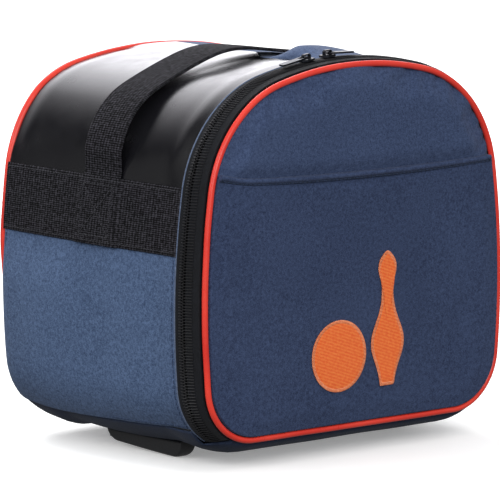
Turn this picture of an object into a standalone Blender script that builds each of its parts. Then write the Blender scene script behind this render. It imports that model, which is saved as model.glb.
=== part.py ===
"""A padded bag for one bowling ball, with a front panel that zips open and folds down.

Units are metres and +Z is up. The front faces -Y and +X is the right side seen from the front.
The origin is on the floor below the middle of the bag. Inside this file every piece is placed in
the bag's own frame, whose zero height is the bottom of the front and back panels' outline.
"""

import math

import bmesh
import bpy

MM = 0.001

# Overall sizes
HALF_DEPTH = 124.3 * MM
FLOOR_TO_OUTLINE = 20 * MM
FRONT_STICKS_OUT = 1.5 * MM
GAP = 0.4 * MM

# The outline of the front and back panels, from the apex down one side: radius, turn in degrees, steps.
ARCS = (
    (322 * MM, 13.8, 2),
    (102 * MM, 68.2, 6),
    (656 * MM, 13.6, 3),
    (50 * MM, 84.4, 7),
)
OUTLINE_HEIGHT = 294.6 * MM
FLAT_HALF_WIDTH = 107 * MM

# How far the side wall stands out from the outline half way back, and beside the zip
PUFF_CROWN = -3 * MM
PUFF_BASE = 9.5 * MM
ZIP_RIDGE = 2.2 * MM
ZIP_RIDGE_Y = -102 * MM
ZIP_RIDGE_REACH = 19.5 * MM

# The crown sinks towards the back, above this height
CROWN_SINK = 5.5 * MM
SINK_ABOVE = 262 * MM

# Layers of the soft walls
FABRIC = 1.5 * MM
FOAM = 5 * MM
LINING = 1 * MM
PIPING_RADIUS = 2.5 * MM
WALL_FRONT = -96.2 * MM
WALL_BACK = 121.2 * MM
WALL_DEPTHS = tuple(y * MM for y in (-96.2, -82.5, -61, -25, 0, 25, 61, 97, 121.2))

# Zip
ZIP_CENTRE_Y = -105.8 * MM
ZIP_COIL_HALF_WIDTH = 4 * MM
ZIP_COIL_GAP = 0.4 * MM
ZIP_COIL_RISE = 1.3 * MM
ZIP_TAPE = 1 * MM

# Webbing
BAND_LOW = 150 * MM
BAND_HIGH = 204 * MM
BAND = 1.5 * MM
STRAP_HALF_WIDTH = 22 * MM
STRAP = 2.4 * MM
STRAP_BOW = 9.5 * MM
STRAP_BOW_AT = -42 * MM
STRAP_BOW_REACH = 48 * MM
STRAP_STAND = 9 * MM
STRAP_STAND_AT = -148 * MM
STRAP_STAND_REACH = 42 * MM
STRAP_LIFT_OFF = 20 * MM

# Pocket mouth, crown seam and the quilting of the fabric half of the crown
POCKET_HEIGHT = 206 * MM
CROWN_SEAM = -8 * MM
QUILT_RISE_FRONT = 10.5 * MM
QUILT_RISE_BEHIND = 2 * MM
QUILT_Y = 61 * MM
QUILT_REACH = 36 * MM
QUILT_START = 8 * MM
QUILT_END = 110 * MM

# Base
BASE_SECOND_DEPTH = -90 * MM
BASE_FOAM_FRONT = -116.5 * MM
BASE_FOAM_BACK = 117 * MM
BASE_FOAM_INSET = 2.8 * MM
BASE_FOAM_TOP = 11 * MM
BOARD = 3 * MM
BOARD_HALF_WIDTH = 123.5 * MM
BOARD_HALF_DEPTH = 115 * MM
RAIL_X = 116 * MM
RAIL_HALF_WIDTH = 7.5 * MM
RAIL_HALF_LENGTH = 56 * MM
BOLT_Y = 38 * MM
BOLT_RADIUS = 2 * MM
BOLT_HOLE_RADIUS = 2.5 * MM
WASHER_RADIUS = 6 * MM
BALL_RADIUS = 108.5 * MM

# Sliders and pulls, in the frame of a slider at the apex with x along the zip
SLIDER_LEFT_X = -34 * MM
SLIDER_RIGHT_X = -12 * MM
SLIDER_HALF_LENGTH = 6.5 * MM
SLIDER_HALF_WIDTH = 4.6 * MM
SLIDER_CLEARANCE = 0.8 * MM
SLIDER_PLATE = 1.6 * MM
BRIDGE_HALF_LENGTH = 4 * MM
BRIDGE_HALF_WIDTH = 1.4 * MM
BRIDGE_POST = 1.2 * MM
BRIDGE_OPENING = 2.8 * MM
PULL_LENGTH = 27 * MM
PULL_HALF_WIDTH = 3.6 * MM
PULL_HALF_THICKNESS = 0.7 * MM
PULL_EYE_LENGTH = 7 * MM
PULL_EYE_HALF_WIDTH = 2.2 * MM
PULL_DROOP = math.radians(4)

DOOR_HINGE = (0.0, -HALF_DEPTH, PIPING_RADIUS)


# ---------------------------------------------------------------- scene and materials


def clear_scene():
    """Removes whatever the scene starts with."""
    for obj in list(bpy.data.objects):
        bpy.data.objects.remove(obj, do_unlink=True)


def plain_material(name, colour, roughness, metallic=0.0):
    """A single-colour Principled material."""
    material = bpy.data.materials.new(name)
    material.use_nodes = True
    shader = material.node_tree.nodes["Principled BSDF"]
    shader.inputs["Base Color"].default_value = (*colour, 1.0)
    shader.inputs["Roughness"].default_value = roughness
    shader.inputs["Metallic"].default_value = metallic
    material.diffuse_color = (*colour, 1.0)
    return material


def navy_fabric():
    return plain_material("navy_fabric", (0.032, 0.052, 0.105), 0.85)


def blue_fabric():
    return plain_material("blue_fabric", (0.065, 0.105, 0.185), 0.85)


def red_piping():
    return plain_material("red_piping", (0.62, 0.07, 0.06), 0.45)


def black_webbing():
    return plain_material("black_webbing", (0.022, 0.022, 0.025), 0.8)


def black_vinyl():
    return plain_material("black_vinyl", (0.02, 0.021, 0.026), 0.22)


def grey_foam():
    return plain_material("grey_foam", (0.25, 0.25, 0.26), 0.95)


def black_lining():
    return plain_material("black_lining", (0.03, 0.03, 0.035), 0.9)


def black_board():
    return plain_material("black_board", (0.04, 0.04, 0.045), 0.7)


def black_plastic():
    return plain_material("black_plastic", (0.018, 0.018, 0.02), 0.5)


def zip_nylon():
    return plain_material("zip_nylon", (0.025, 0.025, 0.028), 0.5)


def gunmetal():
    return plain_material("gunmetal", (0.22, 0.22, 0.23), 0.3, 1.0)


def zinc_steel():
    return plain_material("zinc_steel", (0.55, 0.56, 0.58), 0.35, 1.0)


def orange_thread():
    return plain_material("orange_thread", (0.93, 0.19, 0.03), 0.6)


# ---------------------------------------------------------------- meshes


def add_pivot(name, location, parent=None, turn_about_y=0.0):
    """An empty that stands on a joint's axis."""
    pivot = bpy.data.objects.new(name, None)
    bpy.context.scene.collection.objects.link(pivot)
    pivot.location = location
    pivot.rotation_euler = (0.0, turn_about_y, 0.0)
    pivot.parent = parent
    return pivot


def add_piece(name, material, points, faces, pivot, zero=(0.0, 0.0, 0.0), smooth=True):
    """Makes one closed mesh. zero is where the pivot stands in the frame that points is given in."""
    mesh = bpy.data.meshes.new(name)
    moved = [tuple(value - start for value, start in zip(point, zero)) for point in points]
    mesh.from_pydata(moved, [], faces)
    shape = bmesh.new()
    shape.from_mesh(mesh)
    bmesh.ops.recalc_face_normals(shape, faces=shape.faces)
    shape.to_mesh(mesh)
    shape.free()
    if smooth:
        mesh.shade_smooth()
        mesh.set_sharp_from_angle(angle=math.radians(40))
    mesh.materials.append(material)
    obj = bpy.data.objects.new(name, mesh)
    bpy.context.scene.collection.objects.link(obj)
    obj.parent = pivot
    return obj


def swept_faces(rows, closed_path):
    """Faces that join a row of section loops, with both ends capped when the path is open."""
    count = len(rows[0])
    faces = []
    for row in range(len(rows) if closed_path else len(rows) - 1):
        following_row = (row + 1) % len(rows)
        for k in range(count):
            following = (k + 1) % count
            a = row * count + k
            b = row * count + following
            c = following_row * count + following
            d = following_row * count + k
            # Every layer is split along the diagonal that runs back to front, so nested layers stay apart.
            if rows[row][k][1] <= rows[row][following][1]:
                faces += [(a, b, c), (a, c, d)]
            else:
                faces += [(a, b, d), (b, c, d)]
    if not closed_path:
        faces.append(tuple(range(count)))
        faces.append(tuple(range((len(rows) - 1) * count, len(rows) * count)))
    return faces


def add_swept(name, material, rows, pivot, zero=(0.0, 0.0, 0.0), closed_path=False):
    """A solid through a row of section loops that all have the same number of points."""
    points = [point for row in rows for point in row]
    return add_piece(name, material, points, swept_faces(rows, closed_path), pivot, zero)


def add_plate(name, material, loop, front, back, pivot, zero=(0.0, 0.0, 0.0)):
    """A flat plate whose outline is an x, z loop and whose faces lie at two depths."""
    count = len(loop)
    points = [(x, front, z) for x, z in loop] + [(x, back, z) for x, z in loop]
    faces = [tuple(range(count)), tuple(range(count, 2 * count))]
    for k in range(count):
        following = (k + 1) % count
        faces.append((k, following, count + following, count + k))
    return add_piece(name, material, points, faces, pivot, zero)


def box_shape(low, high):
    """The corners and faces of a box."""
    points = [(x, y, z) for x in (low[0], high[0]) for y in (low[1], high[1]) for z in (low[2], high[2])]
    faces = [(0, 1, 3, 2), (4, 6, 7, 5), (0, 4, 5, 1), (2, 3, 7, 6), (0, 2, 6, 4), (1, 5, 7, 3)]
    return points, faces


def disc_loop(centre_x, centre_y, radius, height, sides):
    """Points on a level circle."""
    turns = [2 * math.pi * k / sides for k in range(sides)]
    return [(centre_x + radius * math.cos(t), centre_y + radius * math.sin(t), height) for t in turns]


def boolean(obj, other, operation):
    """Adds an exact Boolean and hides the other object from renders."""
    modifier = obj.modifiers.new(operation.lower(), "BOOLEAN")
    modifier.solver = "EXACT"
    modifier.operation = operation
    modifier.object = other
    other.hide_render = True
    other.display_type = "WIRE"


# ---------------------------------------------------------------- the outline and the wall


def outline_at(along):
    """x, z and the outward direction at a distance along the outline from the apex, right positive."""
    side = math.copysign(1.0, along)
    left_to_go = abs(along)
    turned = 0.0
    x = 0.0
    z = OUTLINE_HEIGHT
    for radius, sweep, _ in ARCS:
        turn = min(left_to_go / radius, math.radians(sweep))
        x += radius * (math.sin(turned + turn) - math.sin(turned))
        z -= radius * (math.cos(turned) - math.cos(turned + turn))
        turned += turn
        left_to_go -= radius * turn
    return side * (x - left_to_go), z, side * math.sin(turned), math.cos(turned)


def along_at_turn(degrees):
    """How far along the outline it has turned this much from the apex."""
    along = 0.0
    turned = 0.0
    for radius, sweep, _ in ARCS:
        turn = min(degrees - turned, sweep)
        along += radius * math.radians(turn)
        turned += turn
    return along


def along_at_height(height):
    """How far along the outline it has come down to this height."""
    along = 0.0
    turned = 0.0
    z = OUTLINE_HEIGHT
    for radius, sweep, _ in ARCS:
        end = turned + math.radians(sweep)
        end_z = z - radius * (math.cos(turned) - math.cos(end))
        if height >= end_z:
            reached = math.acos(math.cos(turned) - (z - height) / radius)
            return along + radius * (reached - turned)
        along += radius * (end - turned)
        turned = end
        z = end_z
    return along


HALF_ROUND = along_at_turn(180) + FLAT_HALF_WIDTH
BAND_LOW_ALONG = along_at_height(BAND_LOW)
BAND_MIDDLE_ALONG = along_at_height((BAND_LOW + BAND_HIGH) / 2)
BAND_HIGH_ALONG = along_at_height(BAND_HIGH)
SIDE_SEAM_ALONG = along_at_turn(135)
WALL_FOAM_END_ALONG = along_at_turn(148.5)
ZIP_END_ALONG = along_at_turn(152.6)
BASE_FOAM_END_ALONG = along_at_turn(153.5)
ZIP_NOTCH_ALONG = along_at_turn(154)


def cuts_of_one_side():
    """Distances from the apex at which the outline is cut into straight steps, on one side."""
    cuts = [
        BAND_LOW_ALONG,
        BAND_MIDDLE_ALONG,
        BAND_HIGH_ALONG,
        SIDE_SEAM_ALONG,
        WALL_FOAM_END_ALONG,
        ZIP_END_ALONG,
        BASE_FOAM_END_ALONG,
        ZIP_NOTCH_ALONG,
    ]
    start = 0.0
    for radius, sweep, steps in ARCS:
        length = radius * math.radians(sweep)
        cuts += [start + length * (k + 1) / steps for k in range(steps)]
        start += length
    return cuts


ONE_SIDE = cuts_of_one_side()
ALL_CUTS = sorted([-cut for cut in ONE_SIDE] + [0.0, CROWN_SEAM, CROWN_SEAM + QUILT_START] + ONE_SIDE)


def cuts_between(start, end):
    """The two ends and the outline's cuts between them, leaving out steps too short to matter."""
    inside = [cut for cut in ALL_CUTS if start + GAP < cut < end - GAP]
    return [start] + inside + [end]


def round_cuts():
    """Cuts for a loop all the way round, starting at the middle of the bottom."""
    return [-HALF_ROUND] + [cut for cut in ALL_CUTS]


def sink(z, y):
    """How far the crown has sunk where the outline has this height, at a depth."""
    back = max(0.0, (y - WALL_FRONT) / (WALL_BACK - WALL_FRONT))
    top = max(0.0, (z - SINK_ABOVE) / (OUTLINE_HEIGHT - SINK_ABOVE))
    return CROWN_SINK * back * top**1.2


def inset_loop(inset, y):
    """The outline at a depth as an x, z loop moved inwards."""
    loop = []
    for along in round_cuts():
        x, z, out_x, out_z = outline_at(along)
        loop.append((x - inset * out_x, z - inset * out_z - sink(z, y)))
    return loop


def puff(z, y):
    """How far the wall's outer face stands out from the outline at a height and a depth."""
    middle = PUFF_BASE + (PUFF_CROWN - PUFF_BASE) * (max(z, 0.0) / OUTLINE_HEIGHT) ** 1.5
    ridge = max(0.0, 1 - ((y - ZIP_RIDGE_Y) / ZIP_RIDGE_REACH) ** 2)
    return middle * (1 - (y / (HALF_DEPTH - PIPING_RADIUS)) ** 2) + ZIP_RIDGE * ridge


def wall_point(along, y, inset):
    """A point this far below the wall's outer face."""
    x, z, out_x, out_z = outline_at(along)
    out = puff(z, y) - inset
    return x + out * out_x, y, z + out * out_z - sink(z, y)


def wall_rows(start, end, depths, outer, inner):
    """Section loops of a layer of the wall, between two distances along the outline."""
    rows = []
    for along in cuts_between(start, end):
        top = [wall_point(along, y, outer) for y in depths]
        bottom = [wall_point(along, y, inner) for y in reversed(depths)]
        rows.append(top + bottom)
    return rows


# ---------------------------------------------------------------- wall pieces


def add_side_panel(name, side, bag, fabric):
    """The fabric of one side, from the seam at the bottom corner to half way up the webbing band."""
    ends = sorted((side * SIDE_SEAM_ALONG - side * GAP / 2, side * BAND_MIDDLE_ALONG + side * GAP / 2))
    rows = wall_rows(ends[0], ends[1], WALL_DEPTHS, 0.0, FABRIC)
    add_swept(name, fabric, rows, bag)


def add_vinyl_panel(bag):
    """The glossy left half of the crown, tucked under the left band."""
    rows = wall_rows(-BAND_MIDDLE_ALONG + GAP / 2, CROWN_SEAM - GAP / 2, WALL_DEPTHS, 0.0, FABRIC)
    add_swept("crown_vinyl_panel", black_vinyl(), rows, bag)


def quilt(along, y):
    """How far the fabric half of the crown is padded up in front of and behind the strap."""
    started = min(1.0, max(0.0, (along - CROWN_SEAM) / QUILT_START))
    fade = 0.5 + 0.5 * math.cos(math.pi * min(1.0, max(0.0, along / QUILT_END)))
    off_crest = min(1.0, abs(abs(y) - QUILT_Y) / QUILT_REACH)
    rise = QUILT_RISE_FRONT if y < 0 else QUILT_RISE_BEHIND
    return rise * started * fade * (0.5 + 0.5 * math.cos(math.pi * off_crest))


def add_fabric_crown(bag, fabric):
    """The padded fabric right half of the crown, tucked under the right band."""
    rows = []
    for along in cuts_between(CROWN_SEAM + GAP / 2, BAND_MIDDLE_ALONG - GAP / 2):
        top = [wall_point(along, y, -quilt(along, y)) for y in WALL_DEPTHS]
        bottom = [wall_point(along, y, FABRIC - quilt(along, y)) for y in reversed(WALL_DEPTHS)]
        rows.append(top + bottom)
    add_swept("crown_fabric_panel", fabric, rows, bag)


def base_row(along, behind):
    """One section loop of the base panel."""
    front = (WALL_FRONT, BASE_SECOND_DEPTH)
    if abs(along) > ZIP_NOTCH_ALONG - GAP:
        front = (-HALF_DEPTH + PIPING_RADIUS + GAP, WALL_FRONT)
    depths = front + behind
    top = [wall_point(along, y, 0.0) for y in depths]
    bottom = [wall_point(along, y, FABRIC) for y in reversed(depths)]
    return top + bottom


def base_cuts(end):
    """Cuts from one side's bottom corner across the flat bottom to the other's, right to left."""
    corner = [cut for cut in ONE_SIDE if cut > end + GAP]
    right = sorted([end] + corner)
    left = [-cut for cut in reversed(right)]
    return right + left


def add_base(bag, fabric, holes):
    """The base fabric, the foam pad that fills its curve, and the stiff board on top of the pad."""
    behind = WALL_DEPTHS[2:]
    rows = [base_row(along, behind) for along in base_cuts(SIDE_SEAM_ALONG + GAP / 2)]
    panel = add_swept("base_panel", fabric, rows, bag)
    boolean(panel, holes, "DIFFERENCE")

    depths = (BASE_FOAM_FRONT, WALL_FRONT) + WALL_DEPTHS[2:-1] + (BASE_FOAM_BACK,)
    rows = []
    for along in base_cuts(BASE_FOAM_END_ALONG):
        under = [wall_point(along, y, BASE_FOAM_INSET) for y in depths]
        over = [(x, y, BASE_FOAM_TOP) for x, y, _ in reversed(under)]
        rows.append(under + over)
    pad = add_swept("base_foam", grey_foam(), rows, bag)
    boolean(pad, holes, "DIFFERENCE")

    low = (-BOARD_HALF_WIDTH, -BOARD_HALF_DEPTH, BASE_FOAM_TOP + GAP)
    high = (BOARD_HALF_WIDTH, BOARD_HALF_DEPTH, BASE_FOAM_TOP + GAP + BOARD)
    points, faces = box_shape(low, high)
    board = add_piece("base_board", black_board(), points, faces, bag, smooth=False)
    boolean(board, holes, "DIFFERENCE")


def add_wall_layers(bag):
    """The foam and the lining that line the sides and the crown."""
    layers = (
        ("wall_foam", grey_foam(), FABRIC + GAP, FABRIC + GAP + FOAM),
        ("wall_lining", black_lining(), FABRIC + 2 * GAP + FOAM, FABRIC + 2 * GAP + FOAM + LINING),
    )
    for name, material, outer, inner in layers:
        rows = wall_rows(-WALL_FOAM_END_ALONG, WALL_FOAM_END_ALONG, WALL_DEPTHS, outer, inner)
        add_swept(name, material, rows, bag)


def band_rise(y):
    """How far the band stands off the wall: it climbs over the end of the handle strap."""
    climb = min(1.0, max(0.0, (abs(y) - STRAP_HALF_WIDTH - 2 * GAP) / (4 * MM)))
    return GAP + (STRAP + GAP) * (1 - climb)


def add_band(name, side, bag, webbing):
    """The webbing band across one side. It covers the joint between side panel and crown."""
    reach = STRAP_HALF_WIDTH + 2 * GAP
    bump = (-reach - 4 * MM, -reach, reach, reach + 4 * MM)
    depths = sorted(set(WALL_DEPTHS) - {-25 * MM, 25 * MM} | set(bump))
    rows = []
    for along in cuts_between(*sorted((side * BAND_LOW_ALONG, side * BAND_HIGH_ALONG))):
        top = [wall_point(along, y, -band_rise(y) - BAND) for y in depths]
        bottom = [wall_point(along, y, -band_rise(y)) for y in reversed(depths)]
        rows.append(top + bottom)
    add_swept(name, webbing, rows, bag)


def add_strap_tail(name, side, bag, webbing):
    """The end of the handle strap, sewn down between the wall and the band."""
    rows = []
    for along in cuts_between(*sorted((side * (BAND_LOW_ALONG - 4 * MM), side * (BAND_HIGH_ALONG + GAP)))):
        rows.append(strap_loop(along, GAP))
    add_swept(name, webbing, rows, bag)


def strap_loop(along, rise):
    """One section loop of the handle strap, this far off the wall."""
    x, z, out_x, out_z = outline_at(along)
    low = puff(z, 0.0) + rise
    high = low + STRAP
    corners = ((-STRAP_HALF_WIDTH, low), (STRAP_HALF_WIDTH, low), (STRAP_HALF_WIDTH, high), (-STRAP_HALF_WIDTH, high))
    return [(x + out * out_x, y, z + out * out_z - sink(z, y)) for y, out in corners]


def strap_bow(along):
    """How far the strap stands off the wall: it leaves the left band and bows up left of the middle."""
    left_band = min(1.0, max(0.0, (along + BAND_HIGH_ALONG) / STRAP_LIFT_OFF))
    stand = STRAP_STAND * math.exp(-(((along - STRAP_STAND_AT) / STRAP_STAND_REACH) ** 2))
    bow = STRAP_BOW * math.exp(-(((along - STRAP_BOW_AT) / STRAP_BOW_REACH) ** 2))
    return left_band * stand + bow


def add_handle_strap(pivot, zero, webbing):
    """The strap from band to band over the crown."""
    rows = []
    for along in cuts_between(-BAND_HIGH_ALONG + GAP, BAND_HIGH_ALONG - GAP):
        rows.append(strap_loop(along, GAP + strap_bow(along)))
    add_swept("handle_strap", webbing, rows, pivot, zero)


# ---------------------------------------------------------------- front, back and zip


def add_piping(name, y, pivot, zero, piping):
    """The round piping along the seam of the front or the back panel."""
    sides = 8
    rows = []
    for along in round_cuts():
        x, z, out_x, out_z = outline_at(along)
        loop = []
        for k in range(sides):
            turn = 2 * math.pi * (k + 0.5) / sides
            out = -PIPING_RADIUS + PIPING_RADIUS * math.cos(turn)
            loop.append((x + out * out_x, y + PIPING_RADIUS * math.sin(turn), z + out * out_z - sink(z, y)))
        rows.append(loop)
    add_swept(name, piping, rows, pivot, zero, closed_path=True)


def add_back(bag, fabric, piping):
    """The back panel with its piping, foam and lining."""
    panel_inset = 2 * PIPING_RADIUS + GAP
    lining_inset = FABRIC + 2 * GAP + FOAM + LINING + 1.5 * GAP
    outer = HALF_DEPTH + 0.5 * MM
    add_piping("back_piping", HALF_DEPTH, bag, (0.0, 0.0, 0.0), piping)
    add_plate("back_panel", fabric, inset_loop(panel_inset, HALF_DEPTH), outer, outer + FABRIC, bag)
    foam_back = outer - GAP
    foam_front = foam_back - FOAM
    inner_loop = inset_loop(lining_inset, HALF_DEPTH)
    add_plate("back_foam", grey_foam(), inner_loop, foam_front, foam_back, bag)
    lining_back = foam_front - GAP
    add_plate("back_lining", black_lining(), inner_loop, lining_back - LINING, lining_back, bag)


def add_door(door, fabric, piping):
    """The front panel that folds down: fabric, foam, lining, piping and the pocket."""
    inset = 2 * PIPING_RADIUS + GAP
    inner = -HALF_DEPTH - 0.5 * MM
    add_piping("front_piping", -HALF_DEPTH, door, DOOR_HINGE, piping)
    loop = inset_loop(inset, -HALF_DEPTH)
    add_plate("front_panel", fabric, loop, inner - FABRIC, inner, door, DOOR_HINGE)
    foam_front = inner + GAP
    foam_back = foam_front + FOAM
    add_plate("front_foam", grey_foam(), loop, foam_front, foam_back, door, DOOR_HINGE)
    lining_front = foam_back + GAP
    lining_back = lining_front + LINING
    add_plate("front_lining", black_lining(), loop, lining_front, lining_back, door, DOOR_HINGE)
    pocket_back = inner - FABRIC - GAP
    pocket_front = pocket_back - FABRIC
    add_plate("pocket_panel", fabric, pocket_loop(inset + 0.5 * MM), pocket_front, pocket_back, door, DOOR_HINGE)
    return pocket_front


def pocket_loop(inset):
    """The part of the outline below the pocket's mouth."""
    mouth = along_at_height(POCKET_HEIGHT)
    loop = []
    for along in [-HALF_ROUND] + cuts_between(-HALF_ROUND, -mouth)[1:] + cuts_between(mouth, HALF_ROUND)[:-1]:
        x, z, out_x, out_z = outline_at(along)
        loop.append((x - inset * out_x, z - inset * out_z))
    return loop


def add_zip_tape(name, near, far, pivot, zero):
    """One side's tape, laid along the wall's outer face."""
    depths = (near, (near + far) / 2, far)
    rows = wall_rows(-ZIP_END_ALONG + GAP, ZIP_END_ALONG - GAP, depths, 0.0, ZIP_TAPE)
    add_swept(name, zip_nylon(), rows, pivot, zero)


def add_zip_coil(name, near, far, pivot, zero):
    """One side's row of teeth, as a strip with a rounded top."""
    section = (
        (near, ZIP_TAPE),
        (far, ZIP_TAPE),
        (far, -ZIP_COIL_RISE / 2),
        ((near + far) / 2, -ZIP_COIL_RISE),
        (near, -ZIP_COIL_RISE / 2),
    )
    rows = []
    for along in cuts_between(-ZIP_END_ALONG + GAP, ZIP_END_ALONG - GAP):
        rows.append([wall_point(along, y, inset) for y, inset in section])
    add_swept(name, zip_nylon(), rows, pivot, zero)


def add_zip(bag, door):
    """Tape and teeth on both sides of the opening."""
    inner_edge = ZIP_COIL_GAP / 2
    outer_edge = ZIP_COIL_HALF_WIDTH
    front_edge = -HALF_DEPTH + PIPING_RADIUS + GAP
    at_rest = (0.0, 0.0, 0.0)
    add_zip_tape("zip_tape_door", front_edge, ZIP_CENTRE_Y - outer_edge - GAP, door, DOOR_HINGE)
    add_zip_coil("zip_teeth_door", ZIP_CENTRE_Y - outer_edge, ZIP_CENTRE_Y - inner_edge, door, DOOR_HINGE)
    add_zip_coil("zip_teeth_shell", ZIP_CENTRE_Y + inner_edge, ZIP_CENTRE_Y + outer_edge, bag, at_rest)
    add_zip_tape("zip_tape_shell", ZIP_CENTRE_Y + outer_edge + GAP, WALL_FRONT - GAP, bag, at_rest)


# ---------------------------------------------------------------- sliders and pulls


def slider_seat():
    """Height of a slider's underside above the outline, at the apex."""
    return puff(OUTLINE_HEIGHT, ZIP_CENTRE_Y) + ZIP_COIL_RISE + SLIDER_CLEARANCE


def add_slider(name, pivot, metal):
    """A slider: a plate with clipped corners and a bridge that holds the pull."""
    seat = ARCS[0][0] + slider_seat()
    top = seat + SLIDER_PLATE
    narrow = 0.6 * SLIDER_HALF_WIDTH
    shape = (
        (-SLIDER_HALF_LENGTH, -narrow),
        (-0.4 * SLIDER_HALF_LENGTH, -SLIDER_HALF_WIDTH),
        (0.4 * SLIDER_HALF_LENGTH, -SLIDER_HALF_WIDTH),
        (SLIDER_HALF_LENGTH, -narrow),
        (SLIDER_HALF_LENGTH, narrow),
        (0.4 * SLIDER_HALF_LENGTH, SLIDER_HALF_WIDTH),
        (-0.4 * SLIDER_HALF_LENGTH, SLIDER_HALF_WIDTH),
        (-SLIDER_HALF_LENGTH, narrow),
    )
    rows = [[(x, y, height) for x, y in shape] for height in (seat, top)]
    slider = add_swept(name, metal, rows, pivot)
    inside = BRIDGE_HALF_LENGTH - BRIDGE_POST
    underside = top + BRIDGE_OPENING
    profile = (
        (-BRIDGE_HALF_LENGTH, top - SLIDER_PLATE / 2),
        (-BRIDGE_HALF_LENGTH, underside),
        (-inside, underside + BRIDGE_POST),
        (inside, underside + BRIDGE_POST),
        (BRIDGE_HALF_LENGTH, underside),
        (BRIDGE_HALF_LENGTH, top - SLIDER_PLATE / 2),
        (inside, top - SLIDER_PLATE / 2),
        (inside, underside),
        (-inside, underside),
        (-inside, top - SLIDER_PLATE / 2),
    )
    bridge = add_plate(name + "_bridge", metal, profile, -BRIDGE_HALF_WIDTH, BRIDGE_HALF_WIDTH, pivot)
    boolean(slider, bridge, "UNION")


def add_pull(name, pivot, side, metal):
    """A flat tab whose end bar runs under the slider's bridge and lies on the joint's axis."""
    bar = PULL_HALF_THICKNESS
    corner = 1.5 * MM
    end = side * PULL_LENGTH
    outline = (
        (-side * bar, -PULL_HALF_WIDTH),
        (end - side * corner, -PULL_HALF_WIDTH),
        (end, -PULL_HALF_WIDTH + corner),
        (end, PULL_HALF_WIDTH - corner),
        (end - side * corner, PULL_HALF_WIDTH),
        (-side * bar, PULL_HALF_WIDTH),
    )
    rows = [[(x, y, height) for x, y in outline] for height in (-bar, bar)]
    pull = add_swept(name, metal, rows, pivot)
    eye_ends = sorted((side * bar, side * (bar + PULL_EYE_LENGTH)))
    low = (eye_ends[0], -PULL_EYE_HALF_WIDTH, -3 * bar)
    high = (eye_ends[1], PULL_EYE_HALF_WIDTH, 3 * bar)
    points, faces = box_shape(low, high)
    eye = add_piece(name + "_eye", metal, points, faces, pivot, smooth=False)
    boolean(pull, eye, "DIFFERENCE")


def add_slider_and_pull(side_name, side, x, bag, metal):
    """One slider on its arc above the crown's centre, and its pull on the bridge."""
    centre = (0.0, ZIP_CENTRE_Y, OUTLINE_HEIGHT - ARCS[0][0])
    turn = math.asin(x / ARCS[0][0])
    slider_pivot = add_pivot("slider_" + side_name + "_pivot", centre, bag, turn)
    add_slider("zip_slider_" + side_name, slider_pivot, metal)
    bar_height = ARCS[0][0] + slider_seat() + SLIDER_PLATE + BRIDGE_OPENING / 2
    pull_pivot = add_pivot("pull_" + side_name + "_pivot", (0.0, 0.0, bar_height), slider_pivot, side * PULL_DROOP)
    add_pull("zip_pull_" + side_name, pull_pivot, side, metal)


# ---------------------------------------------------------------- emblem


def add_emblem(door, pocket_front, thread):
    """A sewn-on motif of a pin beside a ball."""
    back = pocket_front - GAP
    front = back - 1 * MM
    foot_x = 30 * MM
    foot_z = 33 * MM
    half_widths = ((0, 8.5), (14, 13.5), (34, 17.5), (56, 12.5), (70, 6.5), (80, 5.5), (90, 7.5), (99, 7.5), (107, 3.5))
    right = [(foot_x + w * MM, foot_z + h * MM) for h, w in half_widths]
    left = [(foot_x - w * MM, foot_z + h * MM) for h, w in reversed(half_widths)]
    add_plate("emblem_pin", thread, right + left, front, back, door, DOOR_HINGE)
    ball_radius = 28 * MM
    ball_x = -22 * MM
    ball_z = foot_z + ball_radius
    turns = [2 * math.pi * k / 24 for k in range(24)]
    ball = [(ball_x + ball_radius * math.cos(t), ball_z + ball_radius * math.sin(t)) for t in turns]
    add_plate("emblem_ball", thread, ball, front, back, door, DOOR_HINGE)


# ---------------------------------------------------------------- feet, bolts and ball cup


def bolt_places():
    """Name ending, x and y of each bolt."""
    for side_name, side in (("left", -1), ("right", 1)):
        for end_name, end in (("front", -1), ("rear", 1)):
            yield side_name + "_" + end_name, side * RAIL_X, end * BOLT_Y


def add_bolt_holes(bag, plastic):
    """The cutter for the bolts' holes, from the rails up through the board."""
    sides = 12
    low = -FLOOR_TO_OUTLINE + 5 * MM
    high = BASE_FOAM_TOP + BOARD + 5 * MM
    points = []
    faces = []
    for _, x, y in bolt_places():
        start = len(points)
        rows = [disc_loop(x, y, BOLT_HOLE_RADIUS, height, sides) for height in (low, high)]
        points += rows[0] + rows[1]
        faces += [tuple(start + k for k in face) for face in swept_faces(rows, False)]
    holes = add_piece("bolt_holes", plastic, points, faces, bag, smooth=False)
    holes.hide_render = True
    holes.display_type = "WIRE"
    return holes


def add_bolts(bag, steel):
    """A bolt and a washer at each place, standing on the board and screwed into the rail."""
    sides = 12
    board_top = BASE_FOAM_TOP + GAP + BOARD
    washer_low = board_top + GAP
    washer_high = washer_low + 1 * MM
    head_low = washer_high + GAP
    head_high = head_low + 2.4 * MM
    tip = -FLOOR_TO_OUTLINE + 6 * MM
    for ending, x, y in bolt_places():
        rings = (
            (BOLT_HOLE_RADIUS, washer_low),
            (WASHER_RADIUS, washer_low),
            (WASHER_RADIUS, washer_high),
            (BOLT_HOLE_RADIUS, washer_high),
        )
        rows = [disc_loop(x, y, radius, height, sides) for radius, height in rings]
        add_swept("rail_washer_" + ending, steel, rows, bag, closed_path=True)
        rings = (
            (BOLT_RADIUS, tip),
            (BOLT_RADIUS, head_low),
            (2.1 * BOLT_RADIUS, head_low),
            (2.1 * BOLT_RADIUS, head_high - 0.6 * MM),
            (1.6 * BOLT_RADIUS, head_high),
        )
        rows = [disc_loop(x, y, radius, height, sides) for radius, height in rings]
        add_swept("rail_bolt_" + ending, steel, rows, bag)


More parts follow.
